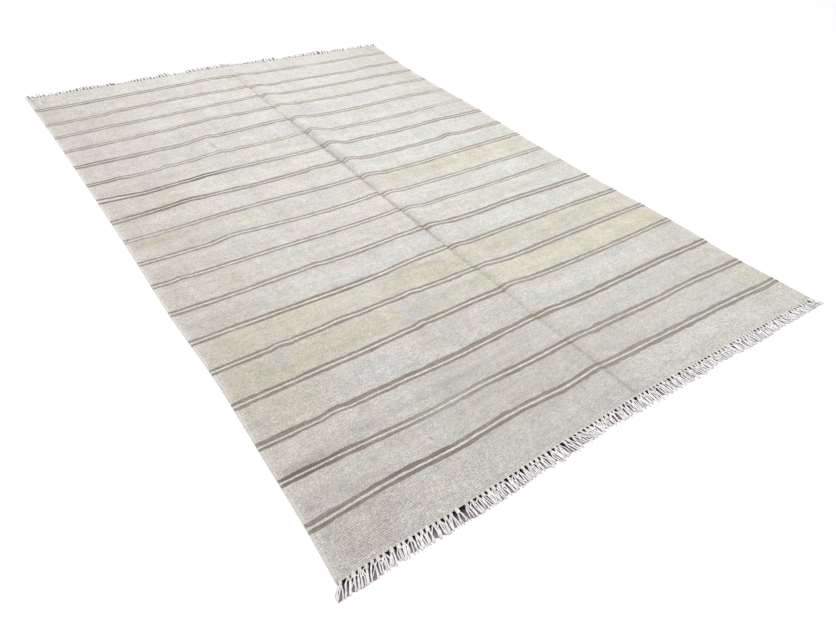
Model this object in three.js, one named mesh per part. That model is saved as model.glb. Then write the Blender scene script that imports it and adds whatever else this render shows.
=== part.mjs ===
// Turkish kilim: two flat-woven panels laid edge to edge at a lengthwise seam, with a knotted
// fringe on a narrow heading strip at both ends. It lies on a floor with low puckers beside the
// seam and a few soft swells, as it does after years of use.
// Millimetres, +Z up, +Y along the length, origin on the floor under the middle of the rug.

import * as THREE from 'three';

const RUG = {
  reachX: 960, // half of the whole width, to the furthest fringe tip
  reachY: 1445, // half of the whole length, to the furthest fringe tip
  thickness: 3,
  gap: 0.3, // between panels at the seam, and between a panel and its heading strips
};

const PANEL = { rows: 32, leftColumns: 16, rightColumns: 17 };
const HEADING = { width: 6 };

// The two selvedges and the seam, at distances along the length. Both sides are drawn in at
// mid-length, and the right one is the more uneven.
const LEFT_SIDE = [
  { y: -1410, x: -941 },
  { y: -1250, x: -931 },
  { y: -1000, x: -923 },
  { y: -700, x: -915 },
  { y: -400, x: -921 },
  { y: 0, x: -914 },
  { y: 800, x: -911 },
  { y: 1100, x: -914 },
  { y: 1400, x: -920 },
];
const SEAM = [
  { y: -1410, x: 50 },
  { y: -1250, x: 47 },
  { y: -950, x: 37 },
  { y: -810, x: 41 },
  { y: -600, x: 33 },
  { y: -100, x: 28 },
  { y: 200, x: 30 },
  { y: 1400, x: 27 },
];
const RIGHT_SIDE = [
  { y: -1410, x: 940 },
  { y: -1250, x: 929 },
  { y: -1080, x: 919 },
  { y: -900, x: 924 },
  { y: -700, x: 918 },
  { y: -450, x: 904 },
  { y: -100, x: 902 },
  { y: 150, x: 907 },
  { y: 450, x: 915 },
  { y: 700, x: 907 },
  { y: 1000, x: 912 },
  { y: 1180, x: 928 },
  { y: 1350, x: 940 },
];

// The outer edge of the heading strips, where the fringe starts, at distances across the width.
const NEAR_EDGE = [
  { x: -940, y: -1407 },
  { x: -850, y: -1402 },
  { x: -600, y: -1401 },
  { x: -350, y: -1394 },
  { x: -150, y: -1390 },
  { x: 60, y: -1387 },
  { x: 330, y: -1393 },
  { x: 700, y: -1400 },
  { x: 940, y: -1407 },
];
const FAR_EDGE = [
  { x: -920, y: 1387 },
  { x: -400, y: 1386 },
  { x: 0, y: 1390 },
  { x: 200, y: 1376 },
  { x: 400, y: 1362 },
  { x: 700, y: 1352 },
  { x: 940, y: 1344 },
];

// The pucker that runs along the right side of the seam: its crest height at distances along it.
const PUCKER = { rise: 34, fall: 88 }; // from the seam to the crest, and from the crest to the floor
const PUCKER_CREST = [
  { y: -1390, height: 0 },
  { y: -1150, height: 3 },
  { y: -750, height: 6 },
  { y: -250, height: 6 },
  { y: 50, height: 8 },
  { y: 270, height: 13 },
  { y: 520, height: 14 },
  { y: 720, height: 9 },
  { y: 1000, height: 8 },
  { y: 1290, height: 4 },
  { y: 1380, height: 0 },
];

// Soft swells elsewhere: turn is the direction of the long axis from +X, in degrees.
const SWELLS = [
  { x: -390, y: 600, turn: 78, long: 230, wide: 90, height: 7 },
  { x: -640, y: 260, turn: 95, long: 200, wide: 100, height: 5 },
  { x: -700, y: -10, turn: 3, long: 260, wide: 85, height: 5 },
  { x: -710, y: -1035, turn: 6, long: 230, wide: 90, height: 5 },
  { x: -150, y: 1140, turn: 80, long: 190, wide: 90, height: 5 },
  { x: 590, y: 220, turn: 88, long: 200, wide: 95, height: 5 },
  { x: 420, y: -640, turn: 15, long: 250, wide: 90, height: 4 },
  { x: 720, y: 1090, turn: 70, long: 190, wide: 95, height: 5 },
];

// Stations of a fringe lock from its root: how far along it, how wide and how high it is.
// Its underside lies on the floor all the way.
const LOCK = [
  { name: 'knot', along: 9, width: 8, height: 6 },
  { name: 'flare', along: 25, width: 11.5, height: 3.4 },
  { name: 'tip', along: 38, width: 9.5, height: 1.6 },
];
const ROOT_WIDTH = 4.6;
const LOCK_SPACE = 0.9; // least distance kept between neighbouring locks
const LOCK_WANDER = 1.1; // how far roots and tips stray from even spacing

const PARTING_REACH = 60; // how far from a parting the locks are still pushed aside

// Each fringe: how many locks each panel end carries, and by x how far their tips lean sideways
// and how long they are. A missing lock has been pulled out, and at a parting the locks on both
// sides are pushed this much further apart.
const NEAR_FRINGE = {
  outward: -1,
  leftLocks: 60,
  rightLocks: 56,
  missing: [{ x: -607 }],
  parted: [
    { x: -921, by: 7 },
    { x: -819, by: 8 },
    { x: -715, by: 4 },
    { x: -549, by: 4 },
    { x: -463, by: 7 },
    { x: 30, by: 6 },
    { x: 226, by: 6 },
    { x: 350, by: 5 },
    { x: 506, by: 6 },
    { x: 910, by: 6 },
  ],
  hang: [
    { x: -940, lean: -28, length: 40 },
    { x: -905, lean: -18, length: 37 },
    { x: -860, lean: -17, length: 42 },
    { x: -800, lean: -14, length: 34 },
    { x: -690, lean: -9, length: 38 },
    { x: -620, lean: -7, length: 40 },
    { x: -560, lean: 0, length: 41 },
    { x: -430, lean: -1, length: 37 },
    { x: -340, lean: 3, length: 33 },
    { x: -290, lean: 6, length: 38 },
    { x: -175, lean: 16, length: 34 },
    { x: -125, lean: 0, length: 32 },
    { x: 20, lean: -5, length: 39 },
    { x: 60, lean: 0, length: 40 },
    { x: 240, lean: 2, length: 40 },
    { x: 290, lean: 10, length: 43 },
    { x: 335, lean: 1, length: 33 },
    { x: 455, lean: 12, length: 34 },
    { x: 500, lean: 1, length: 41 },
    { x: 600, lean: 0, length: 43 },
    { x: 690, lean: 2, length: 38 },
    { x: 765, lean: 18, length: 34 },
    { x: 830, lean: 10, length: 35 },
    { x: 940, lean: 28, length: 37 },
  ],
};
const FAR_FRINGE = {
  outward: 1,
  leftLocks: 60,
  rightLocks: 56,
  missing: [{ x: -742 }, { x: 388 }],
  parted: [
    { x: -880, by: 6 },
    { x: -560, by: 5 },
    { x: -300, by: 4 },
    { x: 130, by: 6 },
    { x: 640, by: 5 },
  ],
  hang: [
    { x: -920, lean: -12, length: 36 },
    { x: -860, lean: -4, length: 40 },
    { x: -700, lean: 3, length: 44 },
    { x: -560, lean: -5, length: 38 },
    { x: -380, lean: 5, length: 46 },
    { x: -200, lean: -4, length: 50 },
    { x: 0, lean: 3, length: 56 },
    { x: 130, lean: -5, length: 50 },
    { x: 260, lean: 4, length: 42 },
    { x: 370, lean: -6, length: 36 },
    { x: 560, lean: 5, length: 58 },
    { x: 700, lean: -3, length: 56 },
    { x: 830, lean: 4, length: 46 },
    { x: 940, lean: 14, length: 38 },
  ],
};

const FINISH = {
  leftPanel: { color: 0xcfcbc0, roughness: 0.95, metalness: 0 },
  rightPanel: { color: 0xd3d0c6, roughness: 0.95, metalness: 0 },
  fringe: { color: 0xe6e1de, roughness: 0.9, metalness: 0 },
};

// A smooth curve through one column of a table, with the ends held level beyond the table.
function through(table, key, column) {
  const slope = table.map((row, i) => {
    const before = table[Math.max(i - 1, 0)];
    const after = table[Math.min(i + 1, table.length - 1)];
    return (after[column] - before[column]) / (after[key] - before[key]);
  });
  return (at) => {
    const last = table.length - 2;
    let i = 0;
    while (i < last && at > table[i + 1][key]) i += 1;
    const span = table[i + 1][key] - table[i][key];
    const t = THREE.MathUtils.clamp((at - table[i][key]) / span, 0, 1);
    const ease = t * t * (3 - 2 * t);
    const rise = table[i + 1][column] - table[i][column];
    const bend = t * (1 - t) * ((1 - t) * slope[i] - t * slope[i + 1]) * span;
    return table[i][column] + ease * rise + bend;
  };
}

const leftSide = through(LEFT_SIDE, 'y', 'x');
const seamLine = through(SEAM, 'y', 'x');
const rightSide = through(RIGHT_SIDE, 'y', 'x');
const nearEdge = through(NEAR_EDGE, 'x', 'y');
const farEdge = through(FAR_EDGE, 'x', 'y');
const puckerCrest = through(PUCKER_CREST, 'y', 'height');

// A round hump: 1 in the middle, level with nothing at and beyond a distance of 1.
function hump(t) {
  return Math.abs(t) < 1 ? (1 - t * t) ** 2 : 0;
}

// A steady stray from -1 to 1 for the lock with this number in this fringe.
function stray(number, kind) {
  const wave = Math.sin(number * 12.9898 + kind * 78.233) * 43758.5453;
  return 2 * (wave - Math.floor(wave)) - 1;
}

// How far the cloth's underside is above the floor.
function lift(x, y) {
  const beside = x - seamLine(y) - PUCKER.rise;
  const pucker = puckerCrest(y) * hump(beside / (beside < 0 ? PUCKER.rise : PUCKER.fall));
  return SWELLS.reduce((sum, swell) => {
    const turn = THREE.MathUtils.degToRad(swell.turn);
    const dx = x - swell.x;
    const dy = y - swell.y;
    const along = dx * Math.cos(turn) + dy * Math.sin(turn);
    const across = dy * Math.cos(turn) - dx * Math.sin(turn);
    return sum + swell.height * hump(along / swell.long) * hump(across / swell.wide);
  }, pucker);
}

// Collects corners and triangles of one closed body.
class Shell {
  constructor() {
    this.corners = [];
    this.faces = [];
  }

  corner(x, y, z) {
    this.corners.push(x, y, z);
    return this.corners.length / 3 - 1;
  }

  face(a, b, c) {
    this.faces.push(a, b, c);
  }

  // A four-sided face, its corners anticlockwise as seen from outside.
  quad(a, b, c, d) {
    this.face(a, b, c);
    this.face(a, c, d);
  }

  geometry() {
    const geometry = new THREE.BufferGeometry();
    geometry.setAttribute('position', new THREE.Float32BufferAttribute(this.corners, 3));
    geometry.setIndex(this.faces);
    geometry.computeVertexNormals();
    return geometry;
  }
}

function named(name, geometry, finish) {
  const mesh = new THREE.Mesh(geometry, new THREE.MeshStandardMaterial(finish));
  mesh.name = name;
  return mesh;
}

// The x of each column line of a panel, at a distance along the length.
function columnLines(side, y) {
  const [from, to, columns] =
    side === 'left'
      ? [leftSide(y), seamLine(y) - RUG.gap / 2, PANEL.leftColumns]
      : [seamLine(y) + RUG.gap / 2, rightSide(y), PANEL.rightColumns];
  return Array.from({ length: columns + 1 }, (_, i) => {
    const part = i / columns;
    // the right panel's columns crowd towards the seam, where its pucker is
    const placed = side === 'left' ? part : part * (0.35 + 0.65 * part);
    return from + (to - from) * placed;
  });
}

// The edge of a panel, or of the strip next to it: the heading strip's outer line moved inwards.
function edgeLine(side, outward, inwards) {
  const edge = outward < 0 ? nearEdge : farEdge;
  return columnLines(side, outward * RUG.reachY).map((x) => [x, edge(x) - outward * inwards]);
}

function panelGeometry(side) {
  const shell = new Shell();
  const columns = side === 'left' ? PANEL.leftColumns : PANEL.rightColumns;
  const near = edgeLine(side, -1, HEADING.width + RUG.gap);
  const far = edgeLine(side, 1, HEADING.width + RUG.gap);
  const rows = [];
  for (let j = 0; j <= PANEL.rows; j += 1) {
    const part = j / PANEL.rows;
    const row = [];
    for (let i = 0; i <= columns; i += 1) {
      const y = near[i][1] + (far[i][1] - near[i][1]) * part;
      const x = columnLines(side, y)[i];
      const onEdge = j === 0 || j === PANEL.rows;
      const under = onEdge ? 0 : lift(x, y);
      const placed = onEdge ? (j === 0 ? near : far)[i][0] : x;
      row.push({
        under: shell.corner(placed, y, under),
        over: shell.corner(placed, y, under + RUG.thickness),
      });
    }
    rows.push(row);
  }
  for (let j = 0; j < PANEL.rows; j += 1) {
    for (let i = 0; i < columns; i += 1) {
      const [a, b, c, d] = [rows[j][i], rows[j][i + 1], rows[j + 1][i + 1], rows[j + 1][i]];
      shell.quad(a.over, b.over, c.over, d.over);
      shell.quad(d.under, c.under, b.under, a.under);
    }
  }
  const rim = [
    ...rows[0].slice(0, -1),
    ...rows.slice(0, -1).map((row) => row[columns]),
    ...rows[PANEL.rows].slice(1).reverse(),
    ...rows.slice(1).reverse().map((row) => row[0]),
  ];
  rim.forEach((a, i) => {
    const b = rim[(i + 1) % rim.length];
    shell.quad(a.under, b.under, b.over, a.over);
  });
  return shell.geometry();
}

// Where each lock of one panel end stands: its middle line and half-widths at every station.
function lockPlan(side, fringe) {
  const edge = fringe.outward < 0 ? nearEdge : farEdge;
  const lean = through(fringe.hang, 'x', 'lean');
  const length = through(fringe.hang, 'x', 'length');
  const ends = columnLines(side, fringe.outward * RUG.reachY);
  const [from, to] = [ends[0], ends[ends.length - 1]];
  const count = side === 'left' ? fringe.leftLocks : fringe.rightLocks;
  const pitch = (to - from) / count;
  const locks = Array.from({ length: count }, (_, i) => {
    const number = i + (side === 'left' ? 0 : fringe.leftLocks);
    const even = from + (i + 0.5) * pitch;
    const pushed = fringe.parted.reduce((sum, parting) => {
      const away = even - parting.x;
      const share = Math.max(0, 1 - Math.abs(away) / PARTING_REACH);
      return sum + (Math.sign(away) * share * parting.by) / 2;
    }, 0);
    const x = even + pushed + stray(number, fringe.outward) * LOCK_WANDER;
    const reach = length(x) * (1 + 0.05 * stray(number, 3));
    const tip = LOCK[LOCK.length - 1].along;
    const stations = LOCK.map((station) => {
      const part = station.along / tip;
      return {
        x: x + part * (lean(x) + LOCK_WANDER * stray(number, 5)),
        y: edge(x) + fringe.outward * part * reach,
        half: station.width / 2,
        height: station.height,
      };
    });
    const root = { x, y: edge(x), half: ROOT_WIDTH / 2, height: RUG.thickness };
    return { x, pitch, stations: [root, ...stations] };
  }).filter((lock) => !fringe.missing.some((gone) => Math.abs(gone.x - lock.x) < lock.pitch / 2));
  locks.forEach((lock, i) => {
    lock.stations.forEach((station, k) => {
      for (const other of [locks[i - 1], locks[i + 1]]) {
        if (!other) continue;
        const room = Math.abs(other.stations[k].x - station.x) - LOCK_SPACE;
        station.half = Math.min(station.half, room / 2);
      }
    });
  });
  return locks;
}

// One end of one panel: the heading strip with its row of fringe locks grown from the outer edge.
function fringeGeometry(side, fringe) {
  const shell = new Shell();
  const { outward } = fringe;
  const stand = (x, y, height) => {
    const kept = THREE.MathUtils.clamp(x, -RUG.reachX, RUG.reachX);
    const trimmed = THREE.MathUtils.clamp(y, -RUG.reachY, RUG.reachY);
    return {
      x: kept,
      under: shell.corner(kept, trimmed, 0),
      over: shell.corner(kept, trimmed, height),
    };
  };
  const inner = edgeLine(side, outward, HEADING.width).map(([x, y]) => stand(x, y, RUG.thickness));
  const ends = edgeLine(side, outward, 0);
  const locks = lockPlan(side, fringe).map((lock) =>
    lock.stations.map((station) => [
      stand(station.x - station.half, station.y, station.height),
      stand(station.x + station.half, station.y, station.height),
    ]),
  );
  const outer = [
    stand(...ends[0], RUG.thickness),
    ...locks.flatMap((rings) => rings[0]),
    stand(...ends[ends.length - 1], RUG.thickness),
  ];

  // faces are written for the far end and turned over for the near one
  const quad = (a, b, c, d) => (outward > 0 ? shell.quad(a, b, c, d) : shell.quad(d, c, b, a));
  const face = (a, b, c) => (outward > 0 ? shell.face(a, b, c) : shell.face(c, b, a));
  const band = (a, b, c) => {
    face(a.over, b.over, c.over);
    face(c.under, b.under, a.under);
  };
  let i = 0;
  let o = 0;
  while (i < inner.length - 1 || o < outer.length - 1) {
    const innerNext = i < inner.length - 1 ? inner[i + 1].x : Infinity;
    const outerNext = o < outer.length - 1 ? outer[o + 1].x : Infinity;
    if (innerNext <= outerNext) {
      band(inner[i], inner[i + 1], outer[o]);
      quad(inner[i].under, inner[i + 1].under, inner[i + 1].over, inner[i].over);
      i += 1;
    } else {
      band(inner[i], outer[o + 1], outer[o]);
      o += 1;
    }
  }
  // the outer wall shows between the roots, which are the odd stretches of the outer line
  for (let k = 0; k < outer.length - 1; k += 2) {
    quad(outer[k + 1].under, outer[k].under, outer[k].over, outer[k + 1].over);
  }
  const [firstIn, lastIn] = [inner[0], inner[inner.length - 1]];
  const [firstOut, lastOut] = [outer[0], outer[outer.length - 1]];
  quad(firstOut.under, firstIn.under, firstIn.over, firstOut.over);
  quad(lastIn.under, lastOut.under, lastOut.over, lastIn.over);

  for (const rings of locks) {
    for (let k = 0; k < rings.length - 1; k += 1) {
      const [a, b] = rings[k];
      const [d, c] = rings[k + 1];
      quad(a.over, b.over, c.over, d.over);
      quad(d.under, c.under, b.under, a.under);
      quad(b.under, c.under, c.over, b.over);
      quad(d.under, a.under, a.over, d.over);
    }
    const [a, b] = rings[rings.length - 1];
    quad(b.under, a.under, a.over, b.over);
  }
  return shell.geometry();
}

const kilim = new THREE.Group();
kilim.add(
  named('panel_left', panelGeometry('left'), FINISH.leftPanel),
  named('panel_right', panelGeometry('right'), FINISH.rightPanel),
  named('fringe_near_left', fringeGeometry('left', NEAR_FRINGE), FINISH.fringe),
  named('fringe_near_right', fringeGeometry('right', NEAR_FRINGE), FINISH.fringe),
  named('fringe_far_left', fringeGeometry('left', FAR_FRINGE), FINISH.fringe),
  named('fringe_far_right', fringeGeometry('right', FAR_FRINGE), FINISH.fringe),
);

export default kilim;
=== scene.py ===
"""A flat-woven Turkish kilim lying on a pale studio floor.

Two long woven panels are laid edge to edge and sewn at a lengthwise seam. Each carries thin paired
taupe stripes, a corded selvedge and a knotted fringe at both ends. Tables and sizes are in
millimetres in the part's own frame, and meshes are written in metres.
"""

import logging
import math
from collections.abc import Sequence
from dataclasses import dataclass, field
from enum import Enum

import bpy
import numpy as np
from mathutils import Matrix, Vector, noise


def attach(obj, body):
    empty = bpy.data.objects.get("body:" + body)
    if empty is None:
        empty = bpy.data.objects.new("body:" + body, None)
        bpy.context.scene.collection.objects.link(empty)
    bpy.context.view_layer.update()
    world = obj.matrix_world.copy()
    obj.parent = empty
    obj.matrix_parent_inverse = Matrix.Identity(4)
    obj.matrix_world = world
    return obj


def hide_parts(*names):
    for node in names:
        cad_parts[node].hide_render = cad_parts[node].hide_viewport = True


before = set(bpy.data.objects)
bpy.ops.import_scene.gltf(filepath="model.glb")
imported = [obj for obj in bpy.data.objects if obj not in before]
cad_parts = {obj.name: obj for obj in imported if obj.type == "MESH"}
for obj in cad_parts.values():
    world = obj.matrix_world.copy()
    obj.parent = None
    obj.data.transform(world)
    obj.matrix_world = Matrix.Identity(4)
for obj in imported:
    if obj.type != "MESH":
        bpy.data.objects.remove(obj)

MM = 0.001
Socket = bpy.types.NodeSocket
Feed = Socket | float | tuple[float, ...]
Places = np.ndarray | float


@dataclass(frozen=True)
class Line:
    """A smooth line through given stations, level beyond its ends."""

    stations: tuple[tuple[float, float], ...]

    def at(self, where: Places) -> np.ndarray:
        """Reads the line.

        Args:
            where: One or many places along it.

        Returns:
            Its value at each place.
        """
        keys, values = np.array(self.stations, float).T
        last = len(keys) - 1
        order = np.arange(last + 1)
        before, after = np.maximum(order - 1, 0), np.minimum(order + 1, last)
        slope = (values[after] - values[before]) / (keys[after] - keys[before])
        i = np.clip(np.searchsorted(keys, where) - 1, 0, last - 1)
        span = keys[i + 1] - keys[i]
        t = np.clip((where - keys[i]) / span, 0, 1)
        bend = t * (1 - t) * ((1 - t) * slope[i] - t * slope[i + 1]) * span
        return values[i] + t * t * (3 - 2 * t) * (values[i + 1] - values[i]) + bend


def hump(t: Places) -> np.ndarray:
    """A round hump: 1 in the middle, level with nothing at and beyond a distance of 1."""
    return (1 - np.minimum(np.abs(t), 1) ** 2) ** 2


def stray(number: int, kind: int) -> float:
    """A steady stray from -1 to 1 for the lock with this number in its fringe."""
    wave = math.sin(number * 12.9898 + kind * 78.233) * 43758.5453
    return 2 * (wave - math.floor(wave)) - 1


def rough(x: np.ndarray, y: np.ndarray, size: float, seed: float) -> np.ndarray:
    """Soft unevenness from about -1 to 1.

    Args:
        x: Places across the rug.
        y: Places along it.
        size: How far apart its rises are.
        seed: Picks one pattern among many.

    Returns:
        The unevenness at each place.
    """
    flat = zip(np.ravel(x) / size, np.ravel(y) / size)
    return np.array([noise.noise((a, b, seed)) for a, b in flat]).reshape(np.shape(x))


class Side(Enum):
    """The two woven panels, as seen from the near end."""

    LEFT = "left"
    RIGHT = "right"


class End(Enum):
    """The two fringed ends, and which way along the length each faces."""

    NEAR = -1
    FAR = 1


@dataclass(frozen=True)
class Patch:
    """A long round place on the cloth, such as a swell, a trough or a stain."""

    x: float
    y: float
    turn: float
    long: float
    wide: float
    height: float

    def at(self, x: Places, y: Places) -> np.ndarray:
        """The patch's height at these places."""
        turn = math.radians(self.turn)
        dx, dy = x - self.x, y - self.y
        along = dx * math.cos(turn) + dy * math.sin(turn)
        across = dy * math.cos(turn) - dx * math.sin(turn)
        return self.height * hump(along / self.long) * hump(across / self.wide)


def rows_of(kind: type, *rows: tuple) -> tuple:
    """One object of this kind for each row of its values."""
    return tuple(kind(*row) for row in rows)


def sum_of(patches: Sequence[Patch], x: Places, y: Places) -> np.ndarray:
    """The height that several patches together have at these places."""
    return sum(patch.at(x, y) for patch in patches)


@dataclass(frozen=True)
class Lie:
    """How the rug lies: its outline and how far the cloth stands off the floor."""

    reach_x: float = 960
    reach_y: float = 1445
    heading: float = 6
    gap: float = 0.06
    rise: float = 34
    fall: float = 88
    sides: dict[str, Line] = field(
        default_factory=lambda: {
            "left": Line((
                (-1410, -941), (-1250, -931), (-1000, -923), (-700, -915), (-400, -921), (0, -914),
                (800, -911), (1100, -914), (1400, -920),
            )),
            "seam": Line((
                (-1410, 50), (-1250, 47), (-950, 37), (-810, 41), (-600, 33), (-100, 28), (200, 30),
                (1400, 27),
            )),
            "right": Line((
                (-1410, 940), (-1250, 929), (-1080, 919), (-900, 924), (-700, 918), (-450, 904),
                (-100, 902), (150, 907), (450, 915), (700, 907), (1000, 912), (1180, 928),
                (1350, 940),
            )),
        }
    )
    ends: dict[End, Line] = field(
        default_factory=lambda: {
            End.NEAR: Line((
                (-940, -1407), (-850, -1402), (-600, -1401), (-350, -1394), (-150, -1390),
                (60, -1387), (330, -1393), (700, -1400), (940, -1407),
            )),
            End.FAR: Line((
                (-920, 1387), (-400, 1386), (0, 1390), (200, 1375), (400, 1359), (700, 1345),
                (940, 1332),
            )),
        }
    )
    crest: Line = Line((
        (-1390, 0), (-1150, 3), (-750, 6), (-250, 6), (50, 8), (270, 13), (520, 14), (720, 9),
        (1000, 8), (1290, 4), (1380, 0),
    ))
    swells: tuple[Patch, ...] = rows_of(
        Patch,
        (-390, 600, 78, 230, 90, 7), (-640, 260, 95, 200, 100, 5), (-700, -10, 3, 260, 85, 5),
        (-710, -1035, 6, 230, 90, 5), (-150, 1140, 80, 190, 90, 5), (590, 220, 88, 200, 95, 5),
        (420, -640, 15, 250, 90, 4), (720, 1090, 70, 190, 95, 5),
    )
    creases: tuple[Patch, ...] = rows_of(
        Patch,
        (-560, -985, 4, 420, 34, -1.6), (-560, -1060, 5, 380, 40, 1.2),
        (-880, 1330, 80, 80, 16, 3.0), (-378, 580, 90, 62, 15, 2.0), (-40, 900, 8, 160, 26, 1.4),
        (-20, 560, 6, 150, 30, 1.8), (10, 240, 5, 120, 30, 1.6), (-8, 80, 90, 420, 22, 1.2),
        (-250, 215, 12, 180, 30, 1.3), (480, -420, 8, 260, 32, 1.2), (640, 560, 6, 220, 34, 1.3),
        (320, 980, 5, 240, 30, 1.2), (-420, -330, 4, 260, 40, 1.1),
    )

    def lift(self, x: Places, y: Places) -> np.ndarray:
        """How far the cloth's underside is above the floor at these places."""
        beside = x - self.sides["seam"].at(y) - self.rise
        reach = np.where(beside < 0, self.rise, self.fall)
        pucker = self.crest.at(y) * hump(beside / reach)
        return pucker + sum_of(self.swells, x, y)

    def across(self, side: Side, y: Places, share: Places) -> np.ndarray:
        """The x of a place that is this share of the way across a panel, from its left edge."""
        edges = [line.at(y) for line in self.sides.values()]
        if side is Side.LEFT:
            start, stop = edges[0], edges[1] - self.gap / 2
        else:
            start, stop = edges[1] + self.gap / 2, edges[2]
        return start + (stop - start) * share

    def edge(self, side: Side, end: End, share: Places, inwards: float) -> np.ndarray:
        """The y of a panel's end, moved inwards by this much, at shares of the way across."""
        x = self.across(side, end.value * self.reach_y, share)
        return self.ends[end].at(x) - end.value * inwards


@dataclass(frozen=True)
class Pair:
    """One pair of stripes on one panel: its middle's places across, its lines' widths, its dye."""

    middle: tuple[float, ...]
    far: float
    cream: float
    near: float
    dye: float


@dataclass(frozen=True)
class Stripes:
    """The pairs of thin stripes across both panels, from the far end to the near one."""

    places: dict[Side, tuple[float, ...]] = field(
        default_factory=lambda: {
            Side.LEFT: (-900, -700, -500, -300, -100, 25),
            Side.RIGHT: (60, 110, 250, 450, 650, 850),
        }
    )
    spacing: float = 147
    true: float = 25  # the cloth isn't stretched within this distance of a pair
    beyond: float = 0.7  # how much the run is drawn in beyond the last pairs
    pairs: dict[Side, tuple[Pair, ...]] = field(
        default_factory=lambda: {
            Side.LEFT: rows_of(
                Pair,
                ((1239, 1235, 1247, 1253, 1261, 1253), 12, 7, 13, 0.95),
                ((1070, 1075, 1096, 1106, 1097, 1098), 10, 6, 12, 0.90),
                ((934, 944, 950, 958, 966, 970), 10, 6, 12, 0.85),
                ((792, 799, 807, 826, 822, 824), 10, 5, 13, 0.85),
                ((643, 643, 645, 659, 675, 679), 12, 6, 15, 0.88),
                ((483, 481, 495, 508, 506, 521), 8, 6, 11, 0.76),
                ((346, 333, 355, 355, 350, 356), 12, 6, 14, 0.90),
                ((184, 197, 203, 194, 204, 206), 13, 5, 13, 0.90),
                ((45, 46, 58, 56, 50, 52), 12, 6, 12, 0.84),
                ((-102, -103, -92, -105, -103, -92), 10, 7, 10, 0.92),
                ((-240, -241, -239, -241, -239, -231), 10, 7, 9, 0.92),
                ((-395, -397, -390, -392, -383, -378), 11, 7, 10, 0.92),
                ((-547, -546, -547, -544, -527, -525), 10, 8, 10, 0.98),
                ((-687, -683, -678, -675, -678, -676), 9, 7, 10, 0.98),
                ((-837, -832, -829, -821, -814, -815), 11, 7, 11, 1.0),
                ((-994, -994, -989, -992, -984, -979), 15, 6, 9, 1.0),
                ((-1118, -1120, -1126, -1120, -1121, -1117), 10, 7, 10, 1.0),
                ((-1260, -1251, -1255, -1246, -1252, -1245), 12, 7, 11, 1.0),
            ),
            Side.RIGHT: rows_of(
                Pair,
                ((1251, 1242, 1236, 1227, 1224, 1223), 10, 5, 12, 0.88),
                ((1078, 1075, 1078, 1066, 1060, 1068), 9, 5, 12, 0.92),
                ((958, 950, 945, 938, 942, 934), 9, 5, 12, 0.95),
                ((820, 812, 808, 795, 806, 799), 9, 5, 11, 0.88),
                ((657, 652, 642, 641, 647, 642), 11, 5, 12, 0.84),
                ((512, 495, 482, 477, 484, 492), 10, 5, 12, 0.80),
                ((356, 348, 344, 341, 349, 343), 14, 5, 13, 0.88),
                ((193, 188, 183, 184, 184, 194), 13, 4, 12, 0.80),
                ((45, 42, 37, 43, 48, 54), 12, 6, 11, 0.86),
                ((-113, -115, -114, -115, -110, -106), 11, 6, 10, 0.80),
                ((-246, -252, -250, -253, -250, -243), 11, 5, 7, 0.86),
                ((-385, -390, -397, -389, -392, -393), 13, 6, 13, 0.98),
                ((-538, -541, -537, -538, -537, -540), 12, 5, 10, 0.93),
                ((-680, -683, -690, -686, -681, -681), 11, 6, 11, 0.92),
                ((-811, -812, -821, -821, -819, -813), 12, 5, 10, 0.88),
                ((-981, -980, -985, -983, -980, -983), 13, 6, 12, 0.98),
                ((-1118, -1119, -1120, -1125, -1124, -1133), 12, 6, 11, 0.88),
                ((-1248, -1251, -1254, -1259, -1263, -1273), 13, 6, 13, 0.88),
            ),
        }
    )
    kinks: tuple[Patch, ...] = rows_of(
        Patch,
        (-790, 495, 0, 50, 60, 7), (-600, 500, 0, 36, 60, 9), (-372, 525, 0, 34, 60, 10),
        (-285, 515, 0, 28, 60, 4), (-372, 670, 0, 45, 60, 6), (-275, 835, 0, 45, 60, 5),
        (-95, 208, 0, 60, 50, 6), (-585, -92, 0, 85, 50, 9), (-825, -238, 0, 36, 50, 5),
        (-430, -385, 0, 60, 50, 4), (-705, -682, 0, 36, 50, 5), (-500, -675, 0, 70, 50, 4),
        (-290, -822, 0, 30, 50, 4), (-700, -992, 0, 50, 50, 6), (-610, 1090, 0, 70, 50, 7),
        (-160, 1097, 0, 80, 50, -8), (-690, 1240, 0, 70, 50, 7), (-40, 1255, 0, 60, 50, 6),
        (-600, 805, 0, 45, 50, 4), (-590, 345, 0, 80, 50, -3), (-235, -676, 0, 40, 50, 5),
        (585, 188, 0, 50, 60, 10), (665, 345, 0, 45, 60, 4),
    )
    parted: tuple[Patch, ...] = rows_of(
        Patch,
        (-905, 345, 0, 190, 60, 5.5), (-905, 205, 0, 120, 60, 1.5), (-640, -535, 0, 140, 50, -1.2),
        (-820, -1118, 0, 200, 50, -0.8),
    )
    kept: tuple[Patch, ...] = rows_of(
        Patch,
        (-850, 491, 0, 140, 60, 0.7), (-850, 655, 0, 160, 60, 0.25), (-760, 345, 0, 330, 60, 0.35),
        (-520, 345, 0, 130, 60, 0.35), (-680, 205, 0, 220, 60, 0.35), (670, 345, 0, 90, 50, 0.25),
        (590, 188, 0, 70, 50, 0.25), (-850, -1105, 0, 170, 60, 0.35),
        (-400, -1122, 0, 200, 60, -0.4), (-430, -545, 0, 300, 50, 0.12),
        (-120, 360, 0, 200, 50, -0.2), (-830, 48, 0, 160, 50, -0.3), (820, 490, 0, 150, 50, -0.45),
        (890, 642, 0, 120, 50, -0.4), (870, -245, 0, 110, 50, -0.4), (440, 1228, 0, 90, 50, -0.35),
        (-600, -1250, 0, 200, 50, 0.15),
    )

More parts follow.
